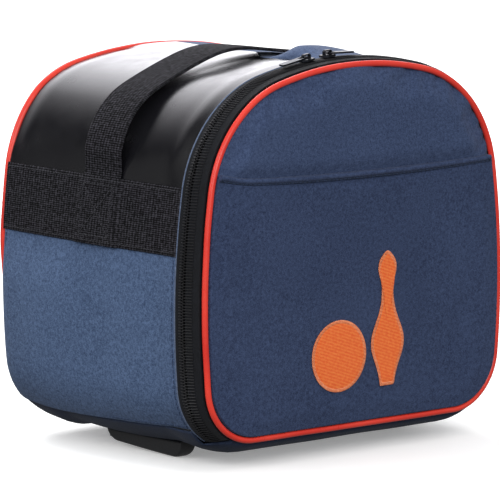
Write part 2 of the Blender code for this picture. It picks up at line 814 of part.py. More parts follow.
def base_underside(x, y):
    """Height of the base panel's outer face at a place on the bottom corner's arc."""
    radius = ARCS[-1][0] + puff(0.0, y)
    beyond = max(0.0, abs(x) - FLAT_HALF_WIDTH)
    return ARCS[-1][0] - math.sqrt(radius**2 - beyond**2)


def add_foot_rail(name, side, bag, plastic, holes):
    """A rail under one side. Its top follows the base, and its ends are raised and rounded."""
    edges = (RAIL_X - RAIL_HALF_WIDTH, RAIL_X + RAIL_HALF_WIDTH)
    floor = -FLOOR_TO_OUTLINE
    ends = (
        (-RAIL_HALF_LENGTH, 5 * MM),
        (-RAIL_HALF_LENGTH + 2 * MM, 1.5 * MM),
        (-RAIL_HALF_LENGTH + 6 * MM, 0.0),
        (-25 * MM, 0.0),
        (0.0, 0.0),
        (25 * MM, 0.0),
        (RAIL_HALF_LENGTH - 6 * MM, 0.0),
        (RAIL_HALF_LENGTH - 2 * MM, 1.5 * MM),
        (RAIL_HALF_LENGTH, 5 * MM),
    )
    rows = []
    for y, raised in ends:
        inner_top = base_underside(edges[0], y) - 1.5 * GAP
        outer_top = base_underside(edges[1], y) - 1.5 * GAP
        rows.append(
            [
                (side * edges[0], y, floor + raised),
                (side * edges[1], y, floor + raised),
                (side * edges[1], y, outer_top),
                (side * edges[0], y, inner_top),
            ]
        )
    rail = add_swept(name, plastic, rows, bag)
    boolean(rail, holes, "DIFFERENCE")


def add_ball_cup(bag):
    """A foam block on the board, with a round dish that keeps the ball from rolling."""
    half_width = 92 * MM
    half_depth = 90 * MM
    low = BASE_FOAM_TOP + 2 * GAP + BOARD
    high = low + 35 * MM
    thin = 10 * MM
    dish_radius = BALL_RADIUS + 1.5 * MM
    dish_centre = low + thin + dish_radius
    sides = 32
    corner = 4
    loop = []
    for k in range(sides):
        turn = 2 * math.pi * (k + 0.5) / sides
        reach = (abs(math.cos(turn)) ** corner + abs(math.sin(turn)) ** corner) ** (-1 / corner)
        loop.append((half_width * reach * math.cos(turn), half_depth * reach * math.sin(turn)))
    rows = [[(x, y, low) for x, y in loop], [(x, y, high) for x, y in loop]]
    rim = math.asin(math.sqrt(dish_radius**2 - (dish_centre - high) ** 2) / dish_radius)
    for step in range(4, 0, -1):
        reach = dish_radius * math.sin(rim * step / 4)
        height = dish_centre - dish_radius * math.cos(rim * step / 4)
        turns = [2 * math.pi * (k + 0.5) / sides for k in range(sides)]
        rows.append([(reach * math.cos(t), reach * math.sin(t), height) for t in turns])
    add_swept("ball_cup", grey_foam(), rows, bag)


# ---------------------------------------------------------------- the bag


def build():
    clear_scene()
    bag = add_pivot("bag_frame", (0.0, FRONT_STICKS_OUT, FLOOR_TO_OUTLINE))
    door = add_pivot("door_pivot", DOOR_HINGE, bag)
    handle_zero = (0.0, 0.0, BAND_HIGH)
    handle = add_pivot("handle_pivot", handle_zero, bag)

    navy = navy_fabric()
    blue = blue_fabric()
    piping = red_piping()
    webbing = black_webbing()
    plastic = black_plastic()
    metal = gunmetal()
    holes = add_bolt_holes(bag, plastic)

    add_back(bag, navy, piping)
    for side_name, side in (("left", -1), ("right", 1)):
        add_side_panel("side_panel_" + side_name, side, bag, blue)
        add_band("webbing_band_" + side_name, side, bag, webbing)
        add_strap_tail("strap_tail_" + side_name, side, bag, webbing)
        add_foot_rail("foot_rail_" + side_name, side, bag, plastic, holes)
    add_vinyl_panel(bag)
    add_fabric_crown(bag, blue)
    add_base(bag, blue, holes)
    add_wall_layers(bag)
    add_ball_cup(bag)
    add_bolts(bag, zinc_steel())

    pocket_front = add_door(door, navy, piping)
    add_emblem(door, pocket_front, orange_thread())
    add_zip(bag, door)
    add_handle_strap(handle, handle_zero, webbing)
    add_slider_and_pull("left", -1, SLIDER_LEFT_X, bag, metal)
    add_slider_and_pull("right", 1, SLIDER_RIGHT_X, bag, metal)


build()
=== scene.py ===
"""Looks for the bowling ball bag: cloth, webbing, vinyl, piping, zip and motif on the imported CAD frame."""

import math

import bpy
import numpy as np
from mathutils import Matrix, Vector, noise


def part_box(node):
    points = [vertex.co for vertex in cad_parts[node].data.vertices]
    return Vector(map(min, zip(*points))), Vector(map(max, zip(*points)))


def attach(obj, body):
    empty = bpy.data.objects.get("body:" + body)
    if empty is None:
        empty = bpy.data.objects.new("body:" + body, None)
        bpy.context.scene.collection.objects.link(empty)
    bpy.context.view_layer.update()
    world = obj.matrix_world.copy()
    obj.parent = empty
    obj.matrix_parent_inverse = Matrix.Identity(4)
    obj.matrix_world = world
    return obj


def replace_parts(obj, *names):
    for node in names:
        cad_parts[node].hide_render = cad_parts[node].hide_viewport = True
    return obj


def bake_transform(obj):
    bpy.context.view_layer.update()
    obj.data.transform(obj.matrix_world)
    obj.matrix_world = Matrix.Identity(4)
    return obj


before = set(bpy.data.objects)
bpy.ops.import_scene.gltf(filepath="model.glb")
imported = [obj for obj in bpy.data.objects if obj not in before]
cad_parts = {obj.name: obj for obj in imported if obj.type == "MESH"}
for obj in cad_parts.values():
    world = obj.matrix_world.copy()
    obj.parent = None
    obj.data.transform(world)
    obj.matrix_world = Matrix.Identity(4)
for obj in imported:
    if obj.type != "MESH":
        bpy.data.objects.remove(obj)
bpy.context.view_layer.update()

MM = 0.001

# ---------------------------------------------------------------- sizes, from the frame where it holds them

FRONT_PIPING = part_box("front_piping")
BACK_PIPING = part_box("back_piping")
FRONT_Y = (FRONT_PIPING[0].y + FRONT_PIPING[1].y) / 2
BACK_Y = (BACK_PIPING[0].y + BACK_PIPING[1].y) / 2
MIDDLE_Y = (FRONT_Y + BACK_Y) / 2
HALF_DEPTH = (BACK_Y - FRONT_Y) / 2
OUTLINE_LOW = FRONT_PIPING[0].z
OUTLINE_HEIGHT = 294.6 * MM
FLAT_HALF_WIDTH = 107 * MM

# The panels' outline from the apex down one side: radius and turn in degrees
ARCS = ((322 * MM, 13.8), (102 * MM, 68.2), (656 * MM, 13.6), (50 * MM, 84.4))

# How far the wall stands out between the pipings, and how the crown sinks towards the back
PUFF_CROWN = -3 * MM
PUFF_BASE = 9.5 * MM
ZIP_RIDGE = 2.2 * MM
ZIP_RIDGE_Y = -102 * MM
ZIP_RIDGE_REACH = 32 * MM
CROWN_SINK = 5.5 * MM
SINK_ABOVE = 262 * MM

# The wall's cloth
WALL_FRONT = -96.2 * MM
WALL_BACK = 121.2 * MM
CLOTH_THICK = 1.3 * MM
SHEET_THICK = CLOTH_THICK + 0.2 * MM
EDGE_RADIUS = 1.2 * MM
GRID_STEP = 5 * MM
SEAM_GAP = 0.2 * MM
SHOULDER = 4.5 * MM
BASE_SAG = 7.5 * MM
BASE_HALF_DEPTH = 121 * MM
RAIL_ZONE = 60 * MM
SEAM_SLANT = 34 * MM
CROWN_SEAM = -8 * MM
VINYL_STRETCH = 2.2 * MM
VINYL_DROP = 1.6 * MM
QUILT_RISE_FRONT = 10.5 * MM
QUILT_RISE_BEHIND = 2 * MM
QUILT_Y = 61 * MM
QUILT_REACH = 36 * MM
QUILT_END = 110 * MM

# Webbing
BAND_LOW = 150 * MM
BAND_HIGH = 204 * MM
BAND_THICK = 1.5 * MM
BAND_OFF_WALL = 0.4 * MM
STRAP_HALF_WIDTH = 22 * MM
STRAP_THICK = 2.4 * MM
STRAP_BOW = 9.5 * MM
STRAP_BOW_AT = -42 * MM
STRAP_BOW_REACH = 48 * MM
STRAP_STAND = 9 * MM
STRAP_STAND_AT = -148 * MM
STRAP_STAND_REACH = 42 * MM
STRAP_LIFT_OFF = 20 * MM

# Piping and zip
PIPING_RADIUS = 2.5 * MM
REAR_PIPING_RADIUS = 3.1 * MM
PIPING_TUCK = 4 * MM
DOOR_EDGE = -HALF_DEPTH + PIPING_RADIUS + 0.4 * MM
ZIP_CENTRE_Y = -105.8 * MM
TAPE_TO_CENTRE = 2.4 * MM
COIL_PITCH = 2.3 * MM
COIL_RADIUS = 0.5 * MM
COIL_FRONT = -9 * MM
COIL_REAR = 4.6 * MM

# Stitches
STITCH_PITCH = 4.2 * MM
STITCH_LENGTH = 3 * MM
STITCH_RADIUS = 0.38 * MM
BAND_STITCH_PITCH = 3.6 * MM

# Front, pocket and back
PAD_INNER = 119.6 * MM
PAD_OUTER = 125.6 * MM
PAD_INSET = 1.4 * MM
PAD_SWELL = 5 * MM
POCKET_PLANE = 127.6 * MM
POCKET_MOUTH = 206 * MM
MOUTH_RISE = 4.6 * MM
MOUTH_SAG = 3.2 * MM
MOUTH_TILT = 2.4 * MM
MOUTH_CLIMB = 4.5 * MM
MOUTH_LEFT = -150 * MM
HEM = 4.4 * MM
MOTIF_FOOT = (30 * MM, 33 * MM)
MOTIF_BALL = (-22 * MM, 61 * MM)
MOTIF_BALL_RADIUS = 28 * MM
PIN_HEIGHT = 107 * MM

# Inside and underneath
FOAM_RISE = -1.9 * MM
FOAM_THICK = 4.8 * MM
LINING_RISE = -7.2 * MM
BACK_LINING_Y = 118.2 * MM
FRONT_LINING_Y = -118.6 * MM
RAIL_SHORTER = 21 * MM
RAIL_THINNER = 5 * MM
RAIL_END_RADIUS = 11 * MM

FORWARD = Vector((0.0, -1.0, 0.0))


# ---------------------------------------------------------------- the outline and the wall's surface


def eased(value):
    """0 to 1 with soft ends."""
    value = np.clip(value, 0.0, 1.0)
    return value * value * (3 - 2 * value)


def bell(value, middle, reach):
    """1 at the middle, falling to about a third at this reach on both sides."""
    return np.exp(-(((value - middle) / reach) ** 2))


def outline_at(along):
    """x, z and outward direction at a distance along the outline from the apex, right positive."""
    side = math.copysign(1.0, along)
    left_to_go = abs(along)
    turned = 0.0
    x = 0.0
    z = OUTLINE_HEIGHT
    for radius, sweep in ARCS:
        turn = min(left_to_go / radius, math.radians(sweep))
        x += radius * (math.sin(turned + turn) - math.sin(turned))
        z -= radius * (math.cos(turned) - math.cos(turned + turn))
        turned += turn
        left_to_go -= radius * turn
    return side * (x - left_to_go), z, side * math.sin(turned), math.cos(turned)


def along_at_turn(degrees):
    """Distance along the outline at which it has turned this much."""
    along = 0.0
    turned = 0.0
    for radius, sweep in ARCS:
        turn = min(degrees - turned, sweep)
        along += radius * math.radians(turn)
        turned += turn
    return along


def along_at_height(height):
    """Distance along the outline at which it has come down to a height."""
    low = 0.0
    high = along_at_turn(180)
    for _ in range(40):
        middle = (low + high) / 2
        if outline_at(middle)[1] > height:
            low = middle
        else:
            high = middle
    return low


HALF_ROUND = along_at_turn(180) + FLAT_HALF_WIDTH
BAND_LOW_ALONG = along_at_height(BAND_LOW)
BAND_HIGH_ALONG = along_at_height(BAND_HIGH)
BAND_MIDDLE_ALONG = along_at_height((BAND_LOW + BAND_HIGH) / 2)
SIDE_SEAM_ALONG = along_at_turn(135)
ZIP_END_ALONG = along_at_turn(152.6)
MOUTH_ALONG = along_at_height(POCKET_MOUTH)


def puff(z, y):
    """How far the wall stands out from the outline. z and y are numpy arrays of one shape."""
    middle = PUFF_BASE + (PUFF_CROWN - PUFF_BASE) * (np.maximum(z, 0.0) / OUTLINE_HEIGHT) ** 1.5
    ridge = np.maximum(0.0, 1 - ((y - ZIP_RIDGE_Y) / ZIP_RIDGE_REACH) ** 2) ** 2
    return middle * (1 - (y / (HALF_DEPTH - PIPING_RADIUS)) ** 2) + ZIP_RIDGE * ridge


def sink(z, y):
    """How far the crown has sunk towards the back, by the outline's height and the depth."""
    back = np.maximum(0.0, (y - WALL_FRONT) / (WALL_BACK - WALL_FRONT))
    top = np.maximum(0.0, (z - SINK_ABOVE) / (OUTLINE_HEIGHT - SINK_ABOVE))
    return CROWN_SINK * back * top**1.2


def wall_grid(alongs, ys, rise, puff_y=None):
    """Points on the wall for each distance and depth, this far above its outer face, in the shared frame.

    puff_y is one depth to read the wall's swelling at, for a piece that bridges it.
    """
    x, z, out_x, out_z = (column[:, None] for column in np.array([outline_at(along) for along in alongs]).T)
    depth = np.asarray(ys)[None, :] + 0 * x
    out = puff(z + 0 * depth, depth if puff_y is None else puff_y + 0 * depth) + rise
    height = z + out * out_z - sink(z, depth) + OUTLINE_LOW
    return np.stack([x + out * out_x, depth + MIDDLE_Y, height], axis=-1)


def spot(along, y, rise):
    """A place on the wall in the shared frame, this far above its outer face, and the way out."""
    _, _, out_x, out_z = outline_at(along)
    return Vector(wall_grid([along], [y], rise)[0, 0]), Vector((out_x, 0.0, out_z))


def edged(start, end, step):
    """Positions from start to end, closer together beside both ends."""
    near = np.array([0.0, 0.25, 0.7, 1.4, 2.6, 4.4]) * MM
    count = max(2, int(round((end - start - 2 * near[-1]) / step)))
    middle = np.linspace(start + near[-1], end - near[-1], count + 1)
    return np.concatenate([start + near[:-1], middle, (end - near[:-1])[::-1]])


def edge_roll(positions, radius=EDGE_RADIUS):
    """How far a rounded edge drops at each position, beside the first and the last."""
    distance = np.minimum(positions - positions[0], positions[-1] - positions)
    return roll_at(distance, radius)


def roll_at(distance, radius=EDGE_RADIUS):
    """How far a rounded edge drops at a distance from it."""
    short = np.clip(radius - distance, 0.0, radius)
    return radius - np.sqrt(np.maximum(radius**2 - short**2, 0.0))


def ripple(points, size, height, shift=0.0):
    """Smooth unevenness of cloth, the same on each run."""
    flat = points.reshape(-1, 3)
    values = [noise.noise(Vector((p[0] / size + shift, p[1] / size, p[2] / size))) for p in flat]
    return height * np.array(values).reshape(points.shape[:-1])


# ---------------------------------------------------------------- mesh building


def add_to_scene(name, data):
    """A new object in the scene."""
    obj = bpy.data.objects.new(name, data)
    bpy.context.scene.collection.objects.link(obj)
    return obj


def lay_weave(mesh, places):
    """Keeps each point's place on the cloth as the mesh's UV map."""
    layer = mesh.uv_layers.new(name="weave")
    corners = np.zeros(len(mesh.loops), np.int32)
    mesh.loops.foreach_get("vertex_index", corners)
    layer.data.foreach_set("uv", np.asarray(places, np.float32)[corners].ravel())


def make_object(name, points, faces, material, body, places=None, angle=40):
    """One object from points and faces, riding on a body."""
    mesh = bpy.data.meshes.new(name)
    mesh.from_pydata([tuple(p) for p in points], [], faces)
    if places is not None:
        lay_weave(mesh, places)
    mesh.shade_smooth()
    mesh.set_sharp_from_angle(angle=math.radians(angle))
    mesh.materials.append(material)
    obj = add_to_scene(name, mesh)
    if body:
        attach(obj, body)
    return obj


def grid_faces(rows, columns, offset=0, flip=False, around=False):
    """Quads of a grid of points, closed round its rows if asked."""
    faces = []
    for i in range(rows - 1):
        for j in range(columns if around else columns - 1):
            following = (j + 1) % columns
            quad = (
                offset + i * columns + j,
                offset + (i + 1) * columns + j,
                offset + (i + 1) * columns + following,
                offset + i * columns + following,
            )
            faces.append(quad[::-1] if flip else quad)
    return faces


def grid_places(alongs, ys):
    """The place on the cloth of each point of a grid."""
    return np.stack(np.meshgrid(alongs, ys, indexing="ij"), axis=-1).reshape(-1, 2)


def sheet(name, top, bottom, material, body, places):
    """A closed sheet between two grids of points of the same shape."""
    rows, columns = top.shape[:2]
    count = rows * columns
    points = np.concatenate([top.reshape(-1, 3), bottom.reshape(-1, 3)])
    faces = grid_faces(rows, columns) + grid_faces(rows, columns, count, flip=True)
    border = list(range(columns))
    border += [i * columns + columns - 1 for i in range(1, rows)]
    border += [(rows - 1) * columns + j for j in range(columns - 2, -1, -1)]
    border += [i * columns for i in range(rows - 2, 0, -1)]
    for start, end in zip(border, border[1:] + border[:1]):
        faces.append((start, end, end + count, start + count))
    return make_object(name, points, faces, material, body, np.concatenate([places, places]))


def border_roll(alongs, ys, radius=EDGE_RADIUS):
    """How far a sheet's rounded border drops at each of its points."""
    return np.maximum(edge_roll(alongs, radius)[:, None], edge_roll(ys, radius)[None, :])


def wall_sheet(name, start, end, material, rise=None, step=GRID_STEP, rough=0.35 * MM, slant=None):
    """A cloth panel on the wall, its edges rolled down and a little uneven. slant moves it with depth."""
    alongs = edged(start, end, step)
    ys = edged(WALL_FRONT, WALL_BACK, step)
    roll = border_roll(alongs, ys)
    to_ends = np.minimum(alongs - start, end - alongs)
    to_seams = np.minimum(ys - WALL_FRONT, WALL_BACK - ys)
    calm = np.clip(np.minimum(to_ends[:, None], to_seams[None, :]) / (18 * MM), 0.0, 1.0)
    tops = []
    lows = []
    places = []
    for j, y in enumerate(ys):
        column = slant(alongs, y) if slant else alongs
        lift = rise(column, np.array([y])) if rise else 0.0
        level = wall_grid(column, [y], 0.0)
        soft = calm[:, j : j + 1]
        uneven = ripple(level, 45 * MM, rough) * soft + ripple(level, 9 * MM, 0.12 * MM) * (1 - soft)
        tops.append(wall_grid(column, [y], lift + uneven - roll[:, j : j + 1]))
        lows.append(wall_grid(column, [y], lift + uneven - SHEET_THICK))
        places.append(np.stack([column, 0 * column + y], axis=-1))
    top = np.concatenate(tops, axis=1)
    low = np.concatenate(lows, axis=1)
    return sheet(name, top, low, material, "shell", np.stack(places, axis=1).reshape(-1, 2))


def ring(centre, radius, out, across, sides, flat=1.0):
    """Points round a centre, in the plane of two directions. flat stretches them along the first."""
    turns = [2 * math.pi * m / sides for m in range(sides)]
    return [centre + radius * (math.cos(turn) * flat * out + math.sin(turn) * across) for turn in turns]


def tube(name, path, radius, sides, material, body, closed=True):
    """A round tube along a path of places, each with the way out there."""
    centres, outs = zip(*path)
    count = len(centres)
    points = []
    for k in range(count):
        before = centres[k - 1] if (closed or k) else centres[0]
        after = centres[(k + 1) % count] if (closed or k < count - 1) else centres[-1]
        across = outs[k].cross((after - before).normalized()).normalized()
        points += ring(centres[k], radius, outs[k], across, sides)
    faces = grid_faces(count, sides, around=True)
    last = (count - 1) * sides
    if closed:
        faces += [(last + m, m, (m + 1) % sides, last + (m + 1) % sides) for m in range(sides)]
    else:
        faces.append(tuple(range(sides)))
        faces.append(tuple(range(last, last + sides))[::-1])
    steps = [0.0] + [(after - before).length for before, after in zip(centres, centres[1:])]
    lengths = np.repeat(np.cumsum(steps), sides)
    turns = np.tile(np.arange(sides) * 2 * math.pi * radius / sides, count)
    return make_object(name, points, faces, material, body, np.stack([lengths, turns], axis=1))


def capsules(name, dashes, radius, material, body, sides=6, flat=1.0):
    """Many short round-ended rods in one mesh, one for each dash's start, end and way out."""
    points = []
    faces = []
    for start, end, out in dashes:
        first = len(points)
        ahead = (end - start).normalized()
        across = out.cross(ahead).normalized()
        for centre, size in (
            (start - ahead * radius * 0.2, 0.55),
            (start + ahead * radius * 0.4, 1.0),
            (end - ahead * radius * 0.4, 1.0),
            (end + ahead * radius * 0.2, 0.55),
        ):
            points += ring(centre, size * radius, out, across, sides, flat)
        faces += grid_faces(4, sides, first, around=True)
        faces.append(tuple(first + m for m in range(sides)))
        faces.append(tuple(first + 3 * sides + m for m in range(sides - 1, -1, -1)))
    return make_object(name, points, faces, material, body)


def mixed(start, end, share):
    """The place this share of the way from start to end."""
    return [a + (b - a) * share for a, b in zip(start, end)]


def dashes_along(place_at, start, end, count, cover):
    """Even dashes from start to end. place_at gives a place and the way out; cover is the share drawn."""
    dashes = []
    for k in range(count):
        first, out = place_at(*mixed(start, end, (k + 0.5 - cover / 2) / count))
        last, _ = place_at(*mixed(start, end, (k + 0.5 + cover / 2) / count))
        dashes.append((first, last, out))
    return dashes


# ---------------------------------------------------------------- materials


class Nodes:
    """A short way to build a material's node graph."""

    def __init__(self, name):
        self.material = bpy.data.materials.new(name)
        self.material.use_nodes = True
        self.tree = self.material.node_tree
        self.shader = self.tree.nodes["Principled BSDF"]

    def add(self, kind, settings=None, **inputs):
        """A node with its settings and inputs, each a value or another node's output.

        i0, i1 and so on name an input by its number.
        """
        node = self.tree.nodes.new(kind)
        for key, value in (settings or {}).items():
            setattr(node, key, value)
        for key, value in inputs.items():
            numbered = key[0] == "i" and key[1:].isdigit()
            self.join(value, node.inputs[int(key[1:]) if numbered else key.replace("_", " ")])
        return node

    def join(self, value, socket):
        if isinstance(value, bpy.types.NodeSocket):
            self.tree.links.new(value, socket)
        else:
            socket.default_value = value

    def maths(self, operation, a, b=0.0):
        return self.add("ShaderNodeMath", {"operation": operation}, i0=a, i1=b).outputs[0]

    def total(self, *parts):
        """The sum of values, each times its weight."""
        result = 0.0
        for value, weight in parts:
            term = self.add("ShaderNodeMath", {"operation": "MULTIPLY_ADD"}, i0=value, i1=weight, i2=result)
            result = term.outputs[0]
        return result

    def wave(self, value, per_metre):
        """A sine with this many waves to the metre."""
        return self.maths("SINE", self.maths("MULTIPLY", value, per_metre * 2 * math.pi))

    def solid(self):
        """The place in the object."""
        return self.add("ShaderNodeTexCoord").outputs["Object"]

    def across_cloth(self):
        """The place on the cloth, in metres along its length and across it."""
        place = self.add("ShaderNodeUVMap", {"uv_map": "weave"}).outputs[0]
        return self.add("ShaderNodeSeparateXYZ", i0=place).outputs[:2]

    def noise_at(self, place, scale, detail=2.0):
        return self.add("ShaderNodeTexNoise", Vector=place, Scale=scale, Detail=detail).outputs["Fac"]

    def spread(self, value, low, high, to_low, to_high):
        return self.add("ShaderNodeMapRange", i0=value, i1=low, i2=high, i3=to_low, i4=to_high).outputs[0]

    def mix(self, factor, a, b):
        node = self.add("ShaderNodeMix", {"data_type": "RGBA"})
        for value, number in ((factor, 0), (a, 6), (b, 7)):
            self.join(value, node.inputs[number])
        return node.outputs[2]

    def colour(self, value, low, high, dark, light):
        """Goes from a dark to a light colour as the value goes from low to high."""
        shade = self.mix(self.spread(value, low, high, 0.0, 1.0), dark, light)
        self.join(shade, self.shader.inputs["Base Color"])

    def roughness(self, value, low, high, least, most):
        """Goes from the least to the most roughness as the value goes from low to high."""
        self.join(self.spread(value, low, high, least, most), self.shader.inputs["Roughness"])

    def relief(self, height, strength, distance):
        """Fine relief too small to model."""
        bump = self.add("ShaderNodeBump", Strength=strength, Distance=distance, Height=height)
        self.join(bump.outputs[0], self.shader.inputs["Normal"])

    def put(self, **values):
        """Sets plain values of the shader."""
        for key, value in values.items():
            self.shader.inputs[key.replace("_", " ")].default_value = value


def srgb(red, green, blue):
    """An sRGB colour from 0 to 255 as a linear one."""
    parts = []
    for value in (red, green, blue):
        v = value / 255
        parts.append(v / 12.92 if v <= 0.04045 else ((v + 0.055) / 1.055) ** 2.4)
    return (*parts, 1.0)


def cloth(name, dark, light, threads=700.0, roughness=0.82):
    """Woven polyester: a plain weave, mottled yarn, and slow shade changes from handling."""
    nodes = Nodes(name)
    warp, weft = nodes.across_cloth()
    weave = nodes.maths("MULTIPLY", nodes.wave(warp, threads), nodes.wave(weft, threads))
    solid = nodes.solid()
    yarn = nodes.noise_at(solid, 900.0, 3.0)
    mottle = nodes.noise_at(solid, 380.0, 3.0)
    slow = nodes.noise_at(solid, 14.0)
    shade = nodes.total((yarn, 0.55), (mottle, 0.42), (slow, 0.13), (weave, 0.05))
    nodes.colour(shade, 0.38, 0.72, dark, light)
    nodes.roughness(mottle, 0.3, 0.7, roughness - 0.06, roughness + 0.08)
    nodes.relief(nodes.total((weave, 0.5), (mottle, 0.8)), 0.45, 0.25 * MM)
    nodes.put(Sheen_Weight=0.06, Sheen_Roughness=0.5, Specular_IOR_Level=0.18)
    return nodes.material


def webbing(name, dark, light):
    """Heavy webbing: ribs across its width, cords along it and fuzzy yarn."""
    nodes = Nodes(name)
    along, across = nodes.across_cloth()
    yarn = nodes.noise_at(nodes.solid(), 420.0, 3.0)
    height = nodes.total((nodes.wave(along, 610), 0.16), (nodes.wave(across, 300), 0.1), (yarn, 1.0))
    nodes.colour(height, 0.4, 0.84, dark, light)
    nodes.relief(height, 0.8, 0.7 * MM)
    nodes.put(Roughness=0.85, Specular_IOR_Level=0.12)
    return nodes.material


def vinyl(name):
    """Coated cloth: black and glossy, with a soft unevenness and faint handling marks."""
    nodes = Nodes(name)
    solid = nodes.solid()
    soft = nodes.noise_at(solid, 22.0)
    grain = nodes.noise_at(solid, 1400.0)
    marks = nodes.noise_at(solid, 60.0, 5.0)
    nodes.roughness(marks, 0.35, 0.75, 0.2, 0.28)
    nodes.relief(nodes.total((soft, 1.0), (grain, 0.02)), 0.15, 0.5 * MM)
    nodes.put(Base_Color=srgb(16, 16, 20), IOR=1.55)
    return nodes.material


def rubbery(name, dark, light, roughness, grain_scale=500.0, grain=0.15):
    """Moulded or extruded plastic with a fine grain and slightly rubbed high spots."""
    nodes = Nodes(name)
    solid = nodes.solid()
    fine = nodes.noise_at(solid, grain_scale, 3.0)
    slow = nodes.noise_at(solid, 25.0, 3.0)
    nodes.colour(slow, 0.3, 0.7, dark, light)
    nodes.roughness(fine, 0.3, 0.7, roughness - 0.07, roughness + 0.07)
    nodes.relief(fine, grain, 0.2 * MM)
    return nodes.material


def plated_metal(name, colour, roughness):
    """Plated metal with fine brushing and worn patches."""
    nodes = Nodes(name)
    wear = nodes.noise_at(nodes.solid(), 350.0, 4.0)
    pale = tuple(min(1.0, 1.5 * c) for c in colour[:3]) + (1.0,)
    nodes.colour(wear, 0.4, 0.7, colour, pale)
    nodes.roughness(wear, 0.3, 0.7, roughness, roughness + 0.15)
    nodes.relief(wear, 0.1, 0.1 * MM)
    nodes.put(Metallic=1.0)
    return nodes.material


def satin_thread(name, dark, light):
    """Close rows of embroidery thread, slanting, with the soft shine of rayon."""
    nodes = Nodes(name)
    solid = nodes.solid()
    parts = nodes.add("ShaderNodeSeparateXYZ", i0=solid)
    slant = nodes.total((parts.outputs[0], 0.35), (parts.outputs[2], 1.0))
    uneven = nodes.noise_at(solid, 400.0, 3.0)
    shade = nodes.total((nodes.wave(slant, 1100), 0.2), (nodes.wave(slant, 380), 0.15), (uneven, 1.0))
    nodes.colour(shade, 0.25, 0.8, dark, light)
    nodes.relief(shade, 0.5, 0.3 * MM)
    nodes.put(Roughness=0.45, Sheen_Weight=0.2)
    return nodes.material


def foam(name, dark, light):
    """Closed-cell foam: small pits and a dry surface."""
    nodes = Nodes(name)
    cells = nodes.add("ShaderNodeTexVoronoi", Vector=nodes.solid(), Scale=600.0).outputs["Distance"]
    nodes.colour(cells, 0.1, 0.6, dark, light)
    nodes.relief(cells, 0.4, 0.4 * MM)
    nodes.put(Roughness=0.92)
    return nodes.material


# ---------------------------------------------------------------- wall pieces


def side_lift(alongs, ys):
    """The side's padding rises steeply off the rear piping, below the band."""
    heights = np.array([outline_at(along)[1] for along in alongs])
    below_band = eased((BAND_LOW - 2 * MM - heights) / (40 * MM))
    from_seam = np.clip((WALL_BACK - ys) / (16 * MM), 0.0, 1.0)
    shoulder = np.sqrt(1 - (1 - from_seam) ** 2)
    fading = eased((ys + 20 * MM) / (110 * MM))
    return SHOULDER * below_band[:, None] * (shoulder * fading)[None, :]


def side_cloth(label, side, material):
    """Blue cloth from the bottom corner's seam up under the band."""
    start, end = sorted((side * (SIDE_SEAM_ALONG - SEAM_GAP), side * BAND_MIDDLE_ALONG))
    piece = wall_sheet(f"side_cloth_{label}", start, end, material, rise=side_lift)
    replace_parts(piece, f"side_panel_{label}")


def crown_slant(alongs, y):
    """The crown's seam runs slantwise under the strap, further right at the back."""
    behind = min(1.0, max(0.0, (y + STRAP_HALF_WIDTH) / (2 * STRAP_HALF_WIDTH)))
    near_seam = 1 - np.clip(np.abs(alongs - CROWN_SEAM) / (BAND_MIDDLE_ALONG + CROWN_SEAM), 0.0, 1.0)
    return alongs + SEAM_SLANT * behind * near_seam


def vinyl_lift(alongs, ys):
    """The vinyl is stretched up towards the zip and drops a little before the rear piping."""
    alongs = np.asarray(alongs)
    ramp = np.clip((-20 * MM - ys) / (62 * MM), 0.0, 1.0)
    rise = ramp * (1.5 - 0.5 * ramp * ramp) * eased((ys - WALL_FRONT) / (14 * MM))
    drop = eased((ys - WALL_BACK + 16 * MM) / (16 * MM))
    off_band = eased((alongs + BAND_HIGH_ALONG) / (26 * MM))
    off_seam = eased((CROWN_SEAM - 4 * MM - alongs) / (20 * MM))
    return (off_band * off_seam)[:, None] * (VINYL_STRETCH * rise - VINYL_DROP * drop)[None, :]


def quilt_lift(alongs, ys):
    """The padded half of the crown rises in front of and behind the strap."""
    started = np.clip((alongs - CROWN_SEAM) / (8 * MM), 0.0, 1.0) ** 0.6
    fade = 0.5 + 0.5 * np.cos(np.pi * np.clip(alongs / QUILT_END, 0.0, 1.0))
    off_crest = np.clip(np.abs(np.abs(ys) - QUILT_Y) / QUILT_REACH, 0.0, 1.0)
    rise = np.where(ys < 0, QUILT_RISE_FRONT, QUILT_RISE_BEHIND)
    return (started * fade)[:, None] * (rise * (0.5 + 0.5 * np.cos(np.pi * off_crest)))[None, :]


def crown(gloss, blue):
    """The crown's two halves: glossy on the left and padded on the right."""
    end = BAND_MIDDLE_ALONG - 0.4 * MM
    left_end = CROWN_SEAM - SEAM_GAP
    right_start = CROWN_SEAM + SEAM_GAP
    half = wall_sheet("crown_vinyl", -end, left_end, gloss, vinyl_lift, rough=0.25 * MM, slant=crown_slant)
    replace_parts(half, "crown_vinyl_panel")
    half = wall_sheet("crown_cloth", right_start, end, blue, quilt_lift, slant=crown_slant)
    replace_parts(half, "crown_fabric_panel")


def base_lift(along, ys):
    """The base sags in front of and behind the rails."""
    low = np.clip(-outline_at(along)[3] * 1.6 - 0.9, 0.0, 1.0)
    clear_of_rails = eased((np.abs(ys) - RAIL_ZONE) / (22 * MM))
    to_edge = np.clip((BASE_HALF_DEPTH - np.abs(ys)) / (22 * MM), 0.0, 1.0)
    return BASE_SAG * low * clear_of_rails * np.sqrt(1 - (1 - to_edge) ** 2)


